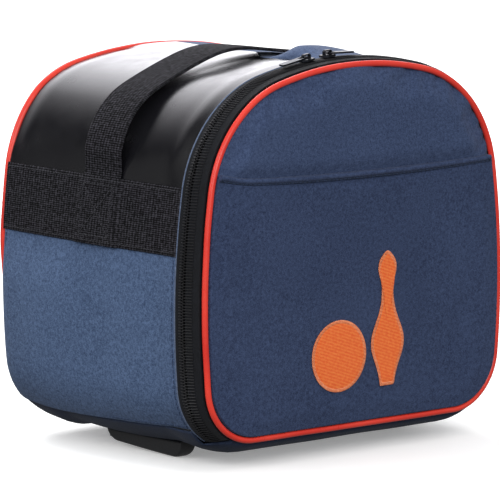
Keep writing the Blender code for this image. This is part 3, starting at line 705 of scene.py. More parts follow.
def base_cloth(material):
    """Cloth under the bag, in a navy darkened as painted shade, notched at its front corners for the ends of
    the zip.
    """
    half = HALF_ROUND - SIDE_SEAM_ALONG - SEAM_GAP
    from_middle = edged(-half, half, GRID_STEP)
    shares = (edged(WALL_FRONT, WALL_BACK, GRID_STEP) - WALL_FRONT) / (WALL_BACK - WALL_FRONT)
    notch = HALF_ROUND - ZIP_END_ALONG - 2 * MM
    tops = []
    lows = []
    places = []
    for across, side_roll in zip(from_middle, edge_roll(from_middle)):
        along = math.copysign(HALF_ROUND - abs(across), -across)
        notched = min(1.0, max(0.0, (abs(across) - notch) / (1.5 * MM)))
        front = DOOR_EDGE * (1 - notched) + WALL_FRONT * notched
        ys = front + shares * (WALL_BACK - front)
        roll = np.maximum(edge_roll(ys), side_roll)
        lift = ripple(wall_grid([along], ys, 0.0), 50 * MM, 0.4 * MM) + base_lift(along, ys)
        tops.append(wall_grid([along], ys, lift - roll)[0])
        lows.append(wall_grid([along], ys, lift - SHEET_THICK)[0])
        places += [(across, y) for y in ys]
    piece = sheet("base_cloth", np.array(tops), np.array(lows), material, "shell", np.array(places))
    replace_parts(piece, "base_panel")


def band_lift(alongs, ys):
    """The band climbs over the end of the handle strap."""
    climb = eased((np.abs(ys) - STRAP_HALF_WIDTH - 0.8 * MM) / (5 * MM))
    lift = BAND_OFF_WALL + BAND_THICK + (STRAP_THICK + BAND_OFF_WALL) * (1 - climb)
    return lift[None, :] + 0 * np.asarray(alongs)[:, None]


def band(label, side, material):
    """The webbing across one side."""
    start, end = sorted((side * BAND_LOW_ALONG, side * BAND_HIGH_ALONG))
    piece = wall_sheet(f"band_{label}", start, end, material, rise=band_lift, step=3 * MM, rough=0.2 * MM)
    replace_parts(piece, f"webbing_band_{label}")


def strap_rise(alongs):
    """Height of the strap's underside above the wall: it bows up beside the left band and near the top."""
    off_band = eased((alongs + BAND_HIGH_ALONG) / STRAP_LIFT_OFF)
    stand = STRAP_STAND * bell(alongs, STRAP_STAND_AT, STRAP_STAND_REACH)
    bow = STRAP_BOW * bell(alongs, STRAP_BOW_AT, STRAP_BOW_REACH)
    return BAND_OFF_WALL + off_band * stand + bow


def strap_section(across):
    """Height of the strap's upper and lower face at places across it: thicker rolled edges."""
    share = np.abs(across) / STRAP_HALF_WIDTH
    beyond = np.maximum(0.0, (share - 0.94) / 0.06)
    rounded = np.sqrt(np.maximum(0.0, 1 - beyond**2))
    hem = 0.25 * MM * bell(share, 0.9, 0.06)
    middle = STRAP_THICK / 2
    return middle + (middle + hem) * rounded, middle - middle * rounded


def handle_strap(material):
    """One strap from under the left band over the crown to under the right band."""
    end = BAND_LOW_ALONG - 5 * MM
    alongs = np.linspace(-end, end, int(2 * end / (2.2 * MM)))
    across = edged(-STRAP_HALF_WIDTH, STRAP_HALF_WIDTH, 3 * MM)
    free = np.where(np.abs(alongs) > BAND_HIGH_ALONG - 1 * MM, 0.0, 1.0)
    slack = strap_rise(alongs) + 0.35 * MM * np.sin(alongs / (31 * MM)) * free
    cup = 0.5 * MM * free[:, None] * (across / STRAP_HALF_WIDTH) ** 2
    high, low = strap_section(across)
    top = wall_grid(alongs, across, slack[:, None] + high - cup, puff_y=0.0)
    bottom = wall_grid(alongs, across, slack[:, None] + low - cup, puff_y=0.0)
    piece = sheet("carry_strap", top, bottom, material, None, grid_places(alongs, across))
    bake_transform(piece)
    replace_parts(piece, "handle_strap", "strap_tail_left", "strap_tail_right")


# ---------------------------------------------------------------- front and back faces


def inset_loop(alongs, inset, y):
    """x and z of points this far inside the outline, at a depth."""
    x, z, out_x, out_z = np.array([outline_at(along) for along in alongs]).T
    return np.stack([x - inset * out_x, z - inset * out_z - sink(z, y)], axis=1)


def outline_loop(inset, y):
    """Points round a whole panel, from the bottom up the left side."""
    return inset_loop(np.linspace(-HALF_ROUND, HALF_ROUND, 220, endpoint=False), inset, y)


def mouth_at(x):
    """Height of the pocket's mouth: it sags in the middle, falls to the right and climbs at its left end."""
    share = x / -MOUTH_LEFT
    climb = MOUTH_CLIMB * bell(x, MOUTH_LEFT - 2 * MM, 24 * MM)
    return POCKET_MOUTH + MOUTH_RISE + climb - MOUTH_TILT * share - MOUTH_SAG * (1 - share * share)


def pocket_loop():
    """The edge of the pocket, from the mouth's right end round the bottom and back along the mouth."""
    left_end = along_at_height(mouth_at(MOUTH_LEFT))
    right = np.linspace(MOUTH_ALONG, HALF_ROUND, 80)
    left = np.linspace(-HALF_ROUND, -left_end, 80)[1:]
    below = inset_loop([*right, *left], 2 * PIPING_RADIUS + 0.2 * MM, -POCKET_PLANE)
    xs = np.linspace(below[-1, 0], below[0, 0], 92)[1:-1]
    return np.concatenate([below, np.stack([xs, mouth_at(xs)], axis=1)])


def face_grid(loop, centre, rings):
    """Rings of points from a loop in to its centre, and how far each point is from the loop."""
    near = np.array([0.0, 0.003, 0.008, 0.016, 0.028, 0.045])
    shares = np.concatenate([near, np.linspace(0.07, 0.985, rings)])
    grid = np.asarray(centre) + (1 - shares)[:, None, None] * (loop - np.asarray(centre))[None, :, :]
    return grid, np.linalg.norm(grid - grid[0][None], axis=2)


def face_piece(name, grid, outer, inner, towards, material, body):
    """A closed piece from rings of x and z, between an outer and an inner depth at each point."""
    rows, columns = grid.shape[:2]
    count = rows * columns
    points = []
    for depth in (outer, inner):
        place = np.stack([grid[..., 0], depth + MIDDLE_Y, grid[..., 1] + OUTLINE_LOW], axis=-1)
        points.append(place.reshape(-1, 3))
    forward = towards < 0
    faces = grid_faces(rows, columns, flip=not forward, around=True)
    faces += grid_faces(rows, columns, count, flip=forward, around=True)
    for j in range(columns):
        following = (j + 1) % columns
        rim = (j, following, following + count, j + count)
        faces.append(rim if forward else rim[::-1])
    cap = tuple(range(count - columns, count))
    faces.append(cap[::-1] if forward else cap)
    faces.append(tuple(k + count for k in (cap if forward else cap[::-1])))
    places = np.tile(grid.reshape(-1, 2), (2, 1))
    return make_object(name, np.concatenate(points), faces, material, body, places)


def face_sheet(name, loop, centre, level, towards, material, body, lift=None, thick=CLOTH_THICK, rings=34):
    """A cloth panel facing forward or back. lift gives its height from x, z and distance to its edge."""
    grid, edge = face_grid(loop, centre, rings)
    height = (lift(grid[..., 0], grid[..., 1], edge) if lift else 0.0) - roll_at(edge)
    inner = level + towards * (height - thick)
    return face_piece(name, grid, level + towards * height, inner, towards, material, body)


def places_of(mesh):
    """The mesh's points as an array."""
    return np.array([vertex.co for vertex in mesh.vertices])


def fill_with_air(pad, near, cap=6 * MM, frames=14):
    """Swells a closed pad by cloth simulation, holding its points beside the depth near."""
    rest = places_of(pad.data)
    held = pad.vertex_groups.new(name="held")
    for index in np.nonzero(np.abs(rest[:, 1] - near - MIDDLE_Y) < 0.2 * MM)[0]:
        held.add([int(index)], 1.0, "REPLACE")
    swell = pad.modifiers.new("swell", "CLOTH")
    swell.settings.vertex_group_mass = "held"
    swell.settings.use_pressure = True
    swell.settings.uniform_pressure_force = 4.0
    swell.settings.quality = 4
    swell.settings.tension_stiffness = 12.0
    swell.settings.effector_weights.gravity = 0.0
    swell.point_cache.frame_end = frames
    for number in range(1, frames + 1):
        bpy.context.scene.frame_set(number)
    filled = pad.evaluated_get(bpy.context.evaluated_depsgraph_get())
    moved = places_of(filled.data) - rest
    pad.modifiers.remove(swell)
    pad.vertex_groups.clear()
    bpy.context.scene.frame_set(1)
    length = np.linalg.norm(moved, axis=1, keepdims=True)
    moved *= np.minimum(1.0, cap / np.maximum(length, 1e-9))
    pad.data.vertices.foreach_set("co", (rest + moved).ravel())


def remesh(obj, size):
    """Puts even quads over the object in place of its own faces."""
    even = obj.modifiers.new("even", "REMESH")
    even.mode = "VOXEL"
    even.voxel_size = size
    fresh = bpy.data.meshes.new_from_object(obj.evaluated_get(bpy.context.evaluated_depsgraph_get()))
    obj.modifiers.remove(even)
    obj.data = fresh


def face_pad(name, near, far, towards, clamp, material, body):
    """The padded cloth of a whole face, from depth near to far, swollen by simulation and clamped."""
    loop = outline_loop(PAD_INSET, near)
    centre = (0.0, 0.47 * OUTLINE_HEIGHT)
    pad = face_sheet(name, loop, centre, far, towards, material, None, thick=abs(far - near), rings=20)
    remesh(pad, 4.6 * MM)
    fill_with_air(pad, near)
    mesh = pad.data
    points = places_of(mesh)
    points[:, 1] = clamp(points[:, 0], points[:, 1] - MIDDLE_Y, points[:, 2] - OUTLINE_LOW) + MIDDLE_Y
    mesh.vertices.foreach_set("co", points.ravel())
    lay_weave(mesh, points[:, [0, 2]])
    smooth = pad.modifiers.new("fine", "SUBSURF")
    smooth.levels = 1
    smooth.render_levels = 1
    mesh.materials.clear()
    mesh.materials.append(material)
    mesh.shade_smooth()
    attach(pad, body)
    return pad


def face_swell(x, z):
    """How far a padded face swells at a place on it, from its rim to its middle."""
    across = np.clip(np.abs(x) / (160 * MM), 0.0, 1.0)
    up = np.clip(np.abs(z - 0.45 * OUTLINE_HEIGHT) / (0.55 * OUTLINE_HEIGHT), 0.0, 1.0)
    return (1 - across**3) * (1 - up**3)


def front_clamp(x, y, z):
    """The front pad stays in front of the lining and tucks in behind the pocket."""
    behind_pocket = np.clip((mouth_at(x) + 9 * MM - z) / (12 * MM), 0.0, 1.0)
    swell = 0.6 * MM * behind_pocket + PAD_SWELL * (1 - behind_pocket)
    return np.clip(y, -PAD_OUTER - swell, -PAD_INNER)


def back_clamp(x, y, z):
    """The back pad stays behind the lining."""
    return np.clip(y, PAD_INNER, PAD_OUTER + PAD_SWELL)


def pocket_lift(x, z, edge):
    """The pocket swells a little, and its hem stands away from the front in the middle."""
    below = mouth_at(x) - z
    slack = 1.6 * MM * bell(below, 0.0, 26 * MM) * np.clip(1 - (x / (140 * MM)) ** 2, 0.0, 1.0)
    hem = 0.8 * MM * np.clip(1 - below / (2 * HEM), 0.0, 1.0)
    shape = np.stack([x, 0 * x, z], axis=-1)
    soft = ripple(shape, 60 * MM, 0.7 * MM) + ripple(shape, 22 * MM, 0.15 * MM)
    rim = np.clip(edge / (14 * MM), 0.0, 1.0)
    return (2.2 * MM * face_swell(x, z) + soft + 0.5 * MM) * rim + slack + hem


def pocket_front(x, z):
    """The pocket's outer face at a place on it, in the shared frame."""
    height = pocket_lift(np.array([x]), np.array([z]), np.array([30 * MM]))[0]
    return Vector((x, -POCKET_PLANE - height + MIDDLE_Y, z + OUTLINE_LOW))


def padded_faces(upper_cloth, pocket_cloth, back_cloth):
    """The padded front, the pocket over its lower two thirds, and the padded back."""
    pad = face_pad("front_pad", -PAD_INNER, -PAD_OUTER, -1, front_clamp, upper_cloth, "door")
    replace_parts(pad, "front_panel", "front_foam")
    centre = (0.0, 0.4 * OUTLINE_HEIGHT)
    place = (pocket_loop(), centre, -POCKET_PLANE, -1)
    pocket = face_sheet("pocket", *place, pocket_cloth, "door", pocket_lift, rings=60)
    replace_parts(pocket, "pocket_panel")
    pad = face_pad("back_pad", PAD_INNER, PAD_OUTER, 1, back_clamp, back_cloth, "shell")
    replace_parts(pad, "back_panel", "back_foam")


# ---------------------------------------------------------------- the sewn motif


def pin_half_width(share):
    """Half the pin's width at shares of its height: a foot, a belly, a neck and a head."""
    belly = 12.0 * bell(share, 0.32, 0.2)
    head = 4.2 * bell(share, 0.88, 0.09)
    stem = 4.6 + 1.2 * bell(share, 0.0, 0.2)
    return (belly + head + stem) * MM * np.sqrt(np.clip((1 - share) / 0.06, 0.0, 1.0))


def pin_loop():
    """Points round the pin, clockwise seen from the front."""
    shares = np.concatenate([np.linspace(0.0, 0.94, 34), 1 - 0.06 * np.linspace(0.9, 0.0, 9) ** 2])
    half = pin_half_width(shares)
    heights = MOTIF_FOOT[1] + PIN_HEIGHT * shares
    left = np.stack([MOTIF_FOOT[0] - half, heights], axis=1)
    right = np.stack([MOTIF_FOOT[0] + half, heights], axis=1)
    return np.concatenate([left, right[-2::-1]])


def ball_loop():
    """Points round the ball, clockwise seen from the front."""
    turns = -2 * math.pi * np.arange(64) / 64
    return np.array(MOTIF_BALL) + MOTIF_BALL_RADIUS * np.stack([np.cos(turns), np.sin(turns)], axis=1)


def even_loop(loop, pitch):
    """The same loop with points an even distance apart."""
    closed = np.vstack([loop, loop[:1]])
    lengths = np.concatenate([[0.0], np.cumsum(np.linalg.norm(np.diff(closed, axis=0), axis=1))])
    count = int(lengths[-1] / pitch)
    places = np.arange(count) * lengths[-1] / count
    return np.stack([np.interp(places, lengths, closed[:, k]) for k in (0, 1)], axis=1)


def motif(label, loop, centre, fill, edging):
    """One embroidered shape: a slightly domed fill inside a rope of close satin stitches."""
    loop = even_loop(loop, 1.6 * MM)
    grid, edge = face_grid(loop, centre, 12)
    base = -POCKET_PLANE - pocket_lift(grid[..., 0], grid[..., 1], edge + 30 * MM)
    dome = 0.7 * MM + 0.5 * MM * np.clip(edge / (3 * MM), 0.0, 1.0)
    piece = face_piece(f"motif_{label}", grid, base - dome, base + 0.3 * MM, -1, fill, "door")
    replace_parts(piece, f"emblem_{label}")

    rim = even_loop(loop, 0.75 * MM)
    ahead = np.roll(rim, -1, axis=0) - np.roll(rim, 1, axis=0)
    ahead /= np.linalg.norm(ahead, axis=1, keepdims=True)
    across = np.stack([ahead[:, 1], -ahead[:, 0]], axis=1)
    dashes = []
    for inner, outer in zip(rim + 1.7 * MM * across, rim - 0.9 * MM * across):
        start = pocket_front(*inner) + FORWARD * 0.75 * MM
        dashes.append((start, pocket_front(*outer) + FORWARD * 0.75 * MM, FORWARD))
    capsules(f"motif_{label}_edge", dashes, 0.5 * MM, edging, "door")


# ---------------------------------------------------------------- piping, zip and stitches


def piping(name, y, body, node, material, radius, tuck=0.0):
    """The round piping along one face's seam, slightly wavy. tuck draws its lower half in."""
    path = []
    for along in np.linspace(-HALF_ROUND, HALF_ROUND, 460, endpoint=False):
        x, z, out_x, out_z = outline_at(along)
        wave = float(ripple(np.array([x, y, z]), 40 * MM, 0.25 * MM))
        inset = PIPING_RADIUS - wave + tuck * eased((BAND_LOW - z) / (60 * MM))
        height = z - inset * out_z - sink(z, y) + OUTLINE_LOW
        place = Vector((x - inset * out_x, y + MIDDLE_Y + wave, height))
        path.append((place, Vector((out_x, 0.0, out_z))))
    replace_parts(tube(name, path, radius, 14, material, body), node)


def zip_tape(name, near, far, body, node, material):
    """One side's woven tape, with a thicker cord along the teeth."""
    end = ZIP_END_ALONG - 0.4 * MM
    alongs = np.linspace(-end, end, 260)
    ys = np.linspace(near, far, 12)
    teeth_edge = min(near, far, key=lambda y: abs(y - ZIP_CENTRE_Y))
    top = wall_grid(alongs, ys, 0.15 * MM + 0.5 * MM * bell(ys, teeth_edge, 1.3 * MM))
    bottom = wall_grid(alongs, ys, -1.2 * MM)
    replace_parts(sheet(name, top, bottom, material, body, grid_places(alongs, ys)), node)


def zip_coil(name, side, reach, body, node, material):
    """One side's coil: close loops across the tape, their ends meshing with the other side's."""
    end = ZIP_END_ALONG - 1.5 * MM
    dashes = []
    for k in range(int(2 * end / COIL_PITCH)):
        along = -end + (k + 0.5) * COIL_PITCH + side * COIL_PITCH / 4
        start, out = spot(along, ZIP_CENTRE_Y - side * 0.35 * MM, 0.75 * MM)
        finish, _ = spot(along + 0.35 * MM, ZIP_CENTRE_Y + reach, 0.55 * MM)
        dashes.append((start, finish, out))
    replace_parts(capsules(name, dashes, COIL_RADIUS, material, body, flat=1.3), node)


def zip_parts(tape, coil):
    """Both sides of the zip."""
    front = ZIP_CENTRE_Y - TAPE_TO_CENTRE
    rear = ZIP_CENTRE_Y + TAPE_TO_CENTRE
    zip_tape("zip_tape_front", DOOR_EDGE, front, "door", "zip_tape_door", tape)
    zip_tape("zip_tape_rear", rear, WALL_FRONT - 0.2 * MM, "shell", "zip_tape_shell", tape)
    zip_coil("zip_coil_front", -1, COIL_FRONT, "door", "zip_teeth_door", coil)
    zip_coil("zip_coil_rear", 1, COIL_REAR, "shell", "zip_teeth_shell", coil)


def fold_beside_zip(material):
    """The folded edge of the wall's cloth beside the zip, standing up as a narrow roll, in a paler blue that
    is a painted highlight on the fold.
    """
    end = ZIP_END_ALONG - 1 * MM
    path = [spot(along, WALL_FRONT - 0.1 * MM, 0.1 * MM) for along in np.linspace(-end, end, 320)]
    tube("fold_beside_zip", path, 0.7 * MM, 8, material, "shell", closed=False)


def wall_stitches(name, start, end, thread):
    """A straight row of stitches on the wall, between two places given by distance and depth."""

    def place_at(along, y):
        return spot(along, y, 0.25 * MM)

    samples = [place_at(*mixed(start, end, share))[0] for share in np.linspace(0.0, 1.0, 60)]
    length = sum((after - before).length for before, after in zip(samples, samples[1:]))
    count = max(1, int(length / STITCH_PITCH))
    dashes = dashes_along(place_at, start, end, count, STITCH_LENGTH / STITCH_PITCH)
    capsules(name, dashes, STITCH_RADIUS, thread, "shell")


def seam_stitches(label, side, thread):
    """Topstitching round one side's cloth."""
    top = side * (BAND_LOW_ALONG + 2 * MM)
    low = side * (SIDE_SEAM_ALONG - 2 * MM)
    seam = side * (SIDE_SEAM_ALONG - 3.5 * MM)
    front = WALL_FRONT + 3.2 * MM
    back = WALL_BACK - 3.2 * MM
    wall_stitches(f"seam_stitch_{label}", (seam, WALL_FRONT + 3 * MM), (seam, WALL_BACK - 3 * MM), thread)
    wall_stitches(f"zip_stitch_{label}", (top, front), (low, front), thread)
    wall_stitches(f"rear_stitch_{label}", (top, back), (low, back), thread)


def band_stitches(label, side, thread):
    """Rows along both edges of the band, and a box with a cross over the end of the strap."""
    width = BAND_LOW_ALONG - BAND_HIGH_ALONG
    low, high = 7 * MM, width - 7 * MM
    half = STRAP_HALF_WIDTH - 4 * MM
    rows = [((edge, WALL_FRONT + 2 * MM), (edge, WALL_BACK - 2 * MM)) for edge in (3 * MM, width - 3 * MM)]
    rows += [((low, -half), (low, half)), ((high, -half), (high, half))]
    rows += [((low, -half), (high, -half)), ((low, half), (high, half))]
    rows += [((low, -half), (high, half)), ((low, half), (high, -half))]

    def place_at(below_top, y):
        along = side * (BAND_HIGH_ALONG + below_top)
        return spot(along, y, band_lift([along], np.array([y]))[0, 0] + 0.15 * MM)

    dashes = []
    for start, end in rows:
        count = max(1, int(math.dist(start, end) / BAND_STITCH_PITCH))
        dashes += dashes_along(place_at, start, end, count, 0.72)
    capsules(f"band_stitch_{label}", dashes, 0.4 * MM, thread, "shell")


def pocket_hem(hem_cloth, shade):
    """The rolled hem along the pocket's mouth, and below it a thin dark tube, painted shade standing for the
    shadow in the sunk seam.
    """
    left = -outline_at(along_at_height(mouth_at(MOUTH_LEFT)))[0] + 4.6 * MM
    right = outline_at(MOUTH_ALONG)[0] - 8 * MM
    for name, below, radius, rise, material in (
        ("pocket_hem", 0.5 * HEM, 0.5 * HEM, -0.3 * MM, hem_cloth),
        # Painted shade: the dark tube in the groove under the hem
        ("pocket_seam_painted_shade", HEM + 0.3 * MM, 0.75 * MM, 0.0, shade),
    ):
        path = []
        for x in np.linspace(left, right, 200):
            wander = 0.35 * MM * noise.noise(Vector((x / (22 * MM), below * 900, 0.0)))
            path.append((pocket_front(x, mouth_at(x) - below + wander) + FORWARD * rise, FORWARD))
        tube(name, path, radius, 12, material, "door", closed=False)


def pocket_stitches(thread):
    """A row in the groove under the pocket's hem."""
    half = outline_at(MOUTH_ALONG)[0] - 10 * MM

    def place_at(x):
        return pocket_front(x, mouth_at(x) - HEM - 0.4 * MM) + FORWARD * 0.6 * MM, FORWARD

    dashes = dashes_along(place_at, (-half,), (half,), int(2 * half / STITCH_PITCH), 0.7)
    capsules("pocket_stitch", dashes, 0.32 * MM, thread, "door")


# ---------------------------------------------------------------- inside and underneath


def inner_sheet(name, node, rise, thick, material):
    """A soft layer inside the wall: its outer face lies flat and its inner face is wrinkled a little."""
    end = along_at_turn(148.5) - 0.5 * MM
    alongs = edged(-end, end, 7 * MM)
    ys = edged(WALL_FRONT + 0.4 * MM, WALL_BACK - 1.2 * MM, 7 * MM)
    wrinkle = ripple(wall_grid(alongs, ys, rise), 34 * MM, 0.8 * MM, shift=3.0)
    roll = 0.5 * border_roll(alongs, ys, 0.8 * MM)
    top = wall_grid(alongs, ys, rise - roll)
    bottom = wall_grid(alongs, ys, rise - thick + roll + np.clip(wrinkle, -0.4 * MM, thick * 0.4))
    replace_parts(sheet(name, top, bottom, material, "shell", grid_places(alongs, ys)), node)


def inside_face(name, node, level, towards, inset, body, material):
    """The lining of one face, seen when the door is down."""

    def lift(x, z, edge):
        shape = np.stack([x, 0 * x + level, z], axis=-1)
        rim = np.clip(edge / (16 * MM), 0.0, 1.0)
        return (ripple(shape, 38 * MM, 0.9 * MM) + 0.9 * MM) * rim

    loop = outline_loop(inset, level)
    centre = (0.0, 0.45 * OUTLINE_HEIGHT)
    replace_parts(face_sheet(name, loop, centre, level, towards, material, body, lift, thick=0.9 * MM), node)


def inside(foam_material, lining):
    """Foam edge and lining of the walls, and the lining of both faces."""
    inner_sheet("wall_foam_layer", "wall_foam", FOAM_RISE, FOAM_THICK, foam_material)
    inner_sheet("wall_lining_cloth", "wall_lining", LINING_RISE, 1 * MM, lining)
    inside_face("back_lining_cloth", "back_lining", BACK_LINING_Y, -1, 2.4 * MM, "shell", lining)
    inside_face("front_lining_cloth", "front_lining", FRONT_LINING_Y, 1, -0.2 * MM, "door", lining)


def foot_rail(label, material):
    """A moulded runner: round ends, soft edges and a rear half that thins upwards."""
    node = f"foot_rail_{label}"
    low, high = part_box(node)
    front, back = low.y + 0.2 * MM, high.y - RAIL_SHORTER
    turns = np.linspace(0.0, 2 * math.pi, 28, endpoint=False)
    squarish = [np.sign(wave) * np.abs(wave) ** 0.4 for wave in (np.cos(turns), np.sin(turns))]
    rows = []
    for y in edged(front, back, 3 * MM):
        to_end = min(y - front, back - y, RAIL_END_RADIUS)
        end_rise = RAIL_END_RADIUS - math.sqrt(RAIL_END_RADIUS**2 - (RAIL_END_RADIUS - to_end) ** 2)
        bottom = low.z + 0.1 * MM + RAIL_THINNER * ((y - front) / (back - front)) ** 1.4 + 0.9 * end_rise
        xs = (low.x + high.x) / 2 + squarish[0] * (high.x - low.x) / 2
        heights = (bottom + high.z) / 2 + squarish[1] * (high.z - bottom) / 2
        rows.append(np.stack([xs, 0 * xs + y, heights], axis=1))
    points = np.concatenate(rows)
    count = len(turns)
    faces = grid_faces(len(rows), count, flip=True, around=True)
    faces.append(tuple(range(count))[::-1])
    faces.append(tuple(range(len(points) - count, len(points))))
    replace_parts(make_object(f"runner_{label}", points, faces, material, "shell", angle=60), node)


def repaint(node, material, bevel=0.0):
    """A CAD node keeps its shape, with its edges rounded, and gets a finished material."""
    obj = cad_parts[node]
    obj.data.materials.clear()
    obj.data.materials.append(material)
    if bevel:
        rounding = obj.modifiers.new("rounded", "BEVEL")
        rounding.width = bevel
        rounding.segments = 3
        rounding.limit_method = "ANGLE"
        rounding.angle_limit = math.radians(28)
        rounding.use_clamp_overlap = True
        rounding.harden_normals = False


# ---------------------------------------------------------------- stage

FLOOR_HALF_WIDTH = 14.0
FLOOR_BACK = 6.0
FLOOR_BEND = 4.0
FLOOR_TOP = 14.0
FLOOR_TURN = math.radians(-41.3)

CARD_DISTANCE = 3.2
CARD_HALF_WIDTH = 3.3
CARD_LOW = 0.1
CARD_HIGH = 8.0
CARD_TURN = math.radians(10)

CAMERA_PLACE = (-3.498, -3.9745, 0.918)
CAMERA_TURN = (81.751, 0.09, -41.345)
CAMERA_LENS = 475.5


def add_floor():
    """A plain pale floor that runs up into a wall behind."""
    profile = [(-FLOOR_HALF_WIDTH, 0.0), (FLOOR_BACK, 0.0)]
    for turn in np.linspace(0.1, math.pi / 2, 14):
        profile.append((FLOOR_BACK + FLOOR_BEND * math.sin(turn), FLOOR_BEND * (1 - math.cos(turn))))
    profile.append((FLOOR_BACK + FLOOR_BEND, FLOOR_TOP))
    points = []
    for along, up in profile:
        for across in (-FLOOR_HALF_WIDTH, FLOOR_HALF_WIDTH):
            x = across * math.cos(FLOOR_TURN) - along * math.sin(FLOOR_TURN)
            y = across * math.sin(FLOOR_TURN) + along * math.cos(FLOOR_TURN)
            points.append((x, y, up))
    mesh = bpy.data.meshes.new("floor")
    mesh.from_pydata(points, [], [(2 * k, 2 * k + 1, 2 * k + 3, 2 * k + 2) for k in range(len(profile) - 1)])
    mesh.shade_smooth()
    nodes = Nodes("paper")
    fibre = nodes.noise_at(nodes.solid(), 40.0, 4.0)
    nodes.colour(fibre, 0.3, 0.7, (0.93, 0.93, 0.93, 1), (0.96, 0.96, 0.96, 1))
    nodes.put(Roughness=0.9, Emission_Color=(1, 1, 1, 1), Emission_Strength=0.25)
    mesh.materials.append(nodes.material)
    floor = add_to_scene("floor", mesh)
    floor.visible_glossy = False
    floor.visible_diffuse = False


def add_light(name, place, aim, size, power, size_y=None):
    """A soft rectangular light aimed at a point."""
    data = bpy.data.lights.new(name, "AREA")
    data.shape = "RECTANGLE"
    data.size = size
    data.size_y = size_y or size
    data.energy = power
    light = add_to_scene(name, data)
    light.location = place
    light.rotation_euler = (Vector(aim) - Vector(place)).to_track_quat("-Z", "Y").to_euler()
    return light


def add_lights():
    """A broad box above and behind and two large fills."""
    high = add_light("high_back", (0.5, 2.3, 2.5), (0, 0, 0.2), 2.2, 90, 1.6)
    high.visible_glossy = False
    add_light("front_fill", (-1.9, -2.9, 1.6), (0, 0, 0.15), 2.4, 66)
    add_light("left_fill", (-3.0, 0.6, 1.6), (0, 0, 0.15), 1.8, 28)


def reflector_glow():
    """Bright on the card's right, fading to its left and upwards."""
    nodes = Nodes("reflector_glow")
    place = nodes.add("ShaderNodeTexCoord").outputs["Generated"]
    across, _, up = nodes.add("ShaderNodeSeparateXYZ", i0=place).outputs[:3]
    smooth = {"interpolation_type": "SMOOTHERSTEP"}
    rise = nodes.add("ShaderNodeMapRange", smooth, i0=across, i1=0.05, i2=0.74, i3=0.0, i4=3.6)
    fall = nodes.spread(across, 0.72, 1.0, 1.0, 0.45)
    upward = nodes.spread(up, 0.4, 1.0, 1.0, 0.12)
    strength = nodes.maths("MULTIPLY", nodes.maths("MULTIPLY", rise.outputs[0], fall), upward)
    glow = nodes.add("ShaderNodeEmission", Color=(0.96, 0.95, 1.0, 1.0), Strength=strength)
    nodes.join(glow.outputs[0], nodes.tree.nodes["Material Output"].inputs["Surface"])
    return nodes.material


def add_reflector():
    """A tall lit card behind, seen only in reflections."""
    across = Vector((math.cos(CARD_TURN), -math.sin(CARD_TURN), 0)) * CARD_HALF_WIDTH
    centre = Vector((math.sin(CARD_TURN), math.cos(CARD_TURN), 0)) * CARD_DISTANCE
    low = Vector((0, 0, CARD_LOW))
    high = Vector((0, 0, CARD_HIGH))
    corners = [centre - across + low, centre + across + low, centre + across + high, centre - across + high]
    mesh = bpy.data.meshes.new("reflector")
    mesh.from_pydata([tuple(corner) for corner in corners], [], [(0, 1, 2, 3)])
    mesh.materials.append(reflector_glow())
    card = add_to_scene("reflector", mesh)
    card.visible_camera = False
    card.visible_diffuse = False
    card.visible_shadow = False
    card.visible_transmission = False


def add_surround():
    """White all round for the camera, dimmer from below, and nearly dark in reflections."""
    world = bpy.data.worlds.new("surround")
    world.use_nodes = True
    tree = world.node_tree
    background = tree.nodes["Background"]
    background.inputs[0].default_value = (1, 1, 1, 1)
    path = tree.nodes.new("ShaderNodeLightPath")
    place = tree.nodes.new("ShaderNodeTexCoord")
    parts = tree.nodes.new("ShaderNodeSeparateXYZ")
    upward = tree.nodes.new("ShaderNodeMapRange")
    for number, value in zip((1, 2, 3, 4), (-0.3, 0.4, 0.12, 0.85)):
        upward.inputs[number].default_value = value
    tree.links.new(place.outputs["Generated"], parts.inputs[0])
    tree.links.new(parts.outputs[2], upward.inputs[0])
    strength = upward.outputs[0]
    for ray, value in (("Is Glossy Ray", 0.24), ("Is Camera Ray", 1.0)):
        mix = tree.nodes.new("ShaderNodeMix")
        tree.links.new(path.outputs[ray], mix.inputs[0])
        tree.links.new(strength, mix.inputs[2])
        mix.inputs[3].default_value = value
        strength = mix.outputs[0]
    tree.links.new(strength, background.inputs[1])
    bpy.context.scene.world = world
    bpy.context.scene.view_settings.view_transform = "Standard"


def add_camera():
    """A product shot's long lens, from the front left and a little above."""
    data = bpy.data.cameras.new("camera")
    data.sensor_width = 36
    data.lens = CAMERA_LENS
    data.clip_end = 60
    camera = add_to_scene("camera", data)
    camera.location = CAMERA_PLACE
    camera.rotation_euler = [math.radians(turn) for turn in CAMERA_TURN]
    bpy.context.scene.camera = camera


# ---------------------------------------------------------------- the bag


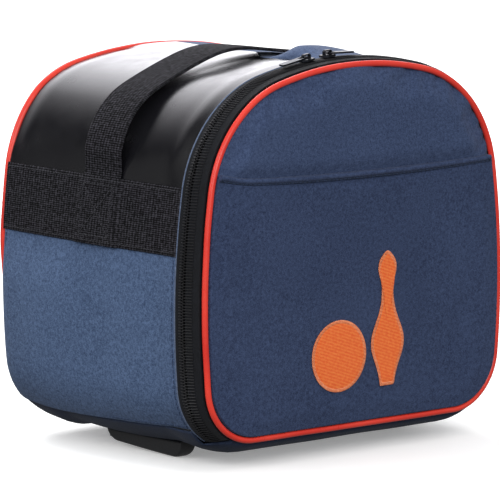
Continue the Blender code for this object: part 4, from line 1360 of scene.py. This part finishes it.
def build():
    """All of the bag's materials and visible pieces."""
    side_blue = cloth("side_blue_weave", srgb(40, 58, 88), srgb(94, 116, 152))
    crown_blue = cloth("crown_blue_weave", srgb(50, 64, 92), srgb(88, 104, 136))
    navy = cloth("navy_weave", srgb(33, 44, 72), srgb(66, 81, 114))
    upper_navy = cloth("upper_navy_weave", srgb(39, 52, 82), srgb(74, 90, 124))
    # Painted shade: a navy darker than the front's, standing for the shadow under the bag and for the shade
    # in the groove under the pocket's hem
    painted_shade_navy = cloth("painted_shade_navy_weave", srgb(24, 32, 50), srgb(42, 54, 78))
    # Painted highlight: a paler blue for the roll beside the zip, standing for the light caught on the fold
    fold_highlight_blue = cloth("fold_highlight_weave", srgb(72, 84, 108), srgb(108, 122, 148), threads=500.0)
    web = webbing("black_webbing_weave", srgb(10, 10, 12), srgb(64, 63, 70))
    gloss = vinyl("black_gloss_vinyl")
    red = rubbery("red_piping_vinyl", srgb(218, 48, 36), srgb(240, 68, 52), 0.34, 300.0, 0.08)
    black_plastic = rubbery("moulded_black", srgb(16, 17, 20), srgb(28, 29, 33), 0.5)
    board = rubbery("black_board_grain", srgb(20, 20, 22), srgb(34, 34, 37), 0.6)
    tape = cloth("zip_tape_weave", srgb(10, 11, 14), srgb(28, 30, 36), threads=1200.0)
    coil = rubbery("zip_nylon_gloss", srgb(10, 10, 13), srgb(24, 24, 29), 0.5)
    lining = cloth("black_lining_weave", srgb(16, 17, 20), srgb(36, 38, 44), threads=1000.0, roughness=0.6)
    grey_foam = foam("grey_foam_cells", srgb(88, 90, 94), srgb(122, 124, 128))
    dark_metal = plated_metal("gunmetal_plate", srgb(52, 54, 60), 0.34)
    steel = plated_metal("zinc_plate", srgb(170, 172, 176), 0.3)
    orange = satin_thread("orange_satin", srgb(240, 92, 24), srgb(255, 136, 58))
    tan = satin_thread("tan_satin", srgb(212, 106, 56), srgb(246, 152, 100))
    navy_thread = cloth("navy_thread", srgb(40, 52, 78), srgb(62, 78, 108), threads=2400.0)
    black_thread = cloth("black_thread", srgb(30, 30, 34), srgb(62, 62, 68), threads=2400.0)

    for label, side in (("left", -1), ("right", 1)):
        side_cloth(label, side, side_blue)
        band(label, side, web)
        seam_stitches(label, side, navy_thread)
        band_stitches(label, side, black_thread)
        foot_rail(label, black_plastic)
    crown(gloss, crown_blue)
    base_cloth(painted_shade_navy)
    handle_strap(web)
    padded_faces(upper_navy, navy, side_blue)
    piping("piping_front", -HALF_DEPTH, "door", "front_piping", red, PIPING_RADIUS)
    piping("piping_rear", HALF_DEPTH, "shell", "back_piping", red, REAR_PIPING_RADIUS, PIPING_TUCK)
    zip_parts(tape, coil)
    fold_beside_zip(fold_highlight_blue)
    pocket_hem(navy, painted_shade_navy)
    pocket_stitches(navy_thread)
    motif("pin", pin_loop(), (MOTIF_FOOT[0], MOTIF_FOOT[1] + 0.4 * PIN_HEIGHT), orange, tan)
    motif("ball", ball_loop(), MOTIF_BALL, orange, tan)
    inside(grey_foam, lining)

    repaint("base_foam", grey_foam)
    repaint("base_board", board, 0.8 * MM)
    repaint("ball_cup", grey_foam, 1.5 * MM)
    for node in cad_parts:
        if node.startswith(("rail_bolt", "rail_washer")):
            repaint(node, steel, 0.3 * MM)
        if node.startswith(("zip_slider", "zip_pull")):
            repaint(node, dark_metal, 0.4 * MM)


build()
add_floor()
add_lights()
add_reflector()
add_surround()
add_camera()
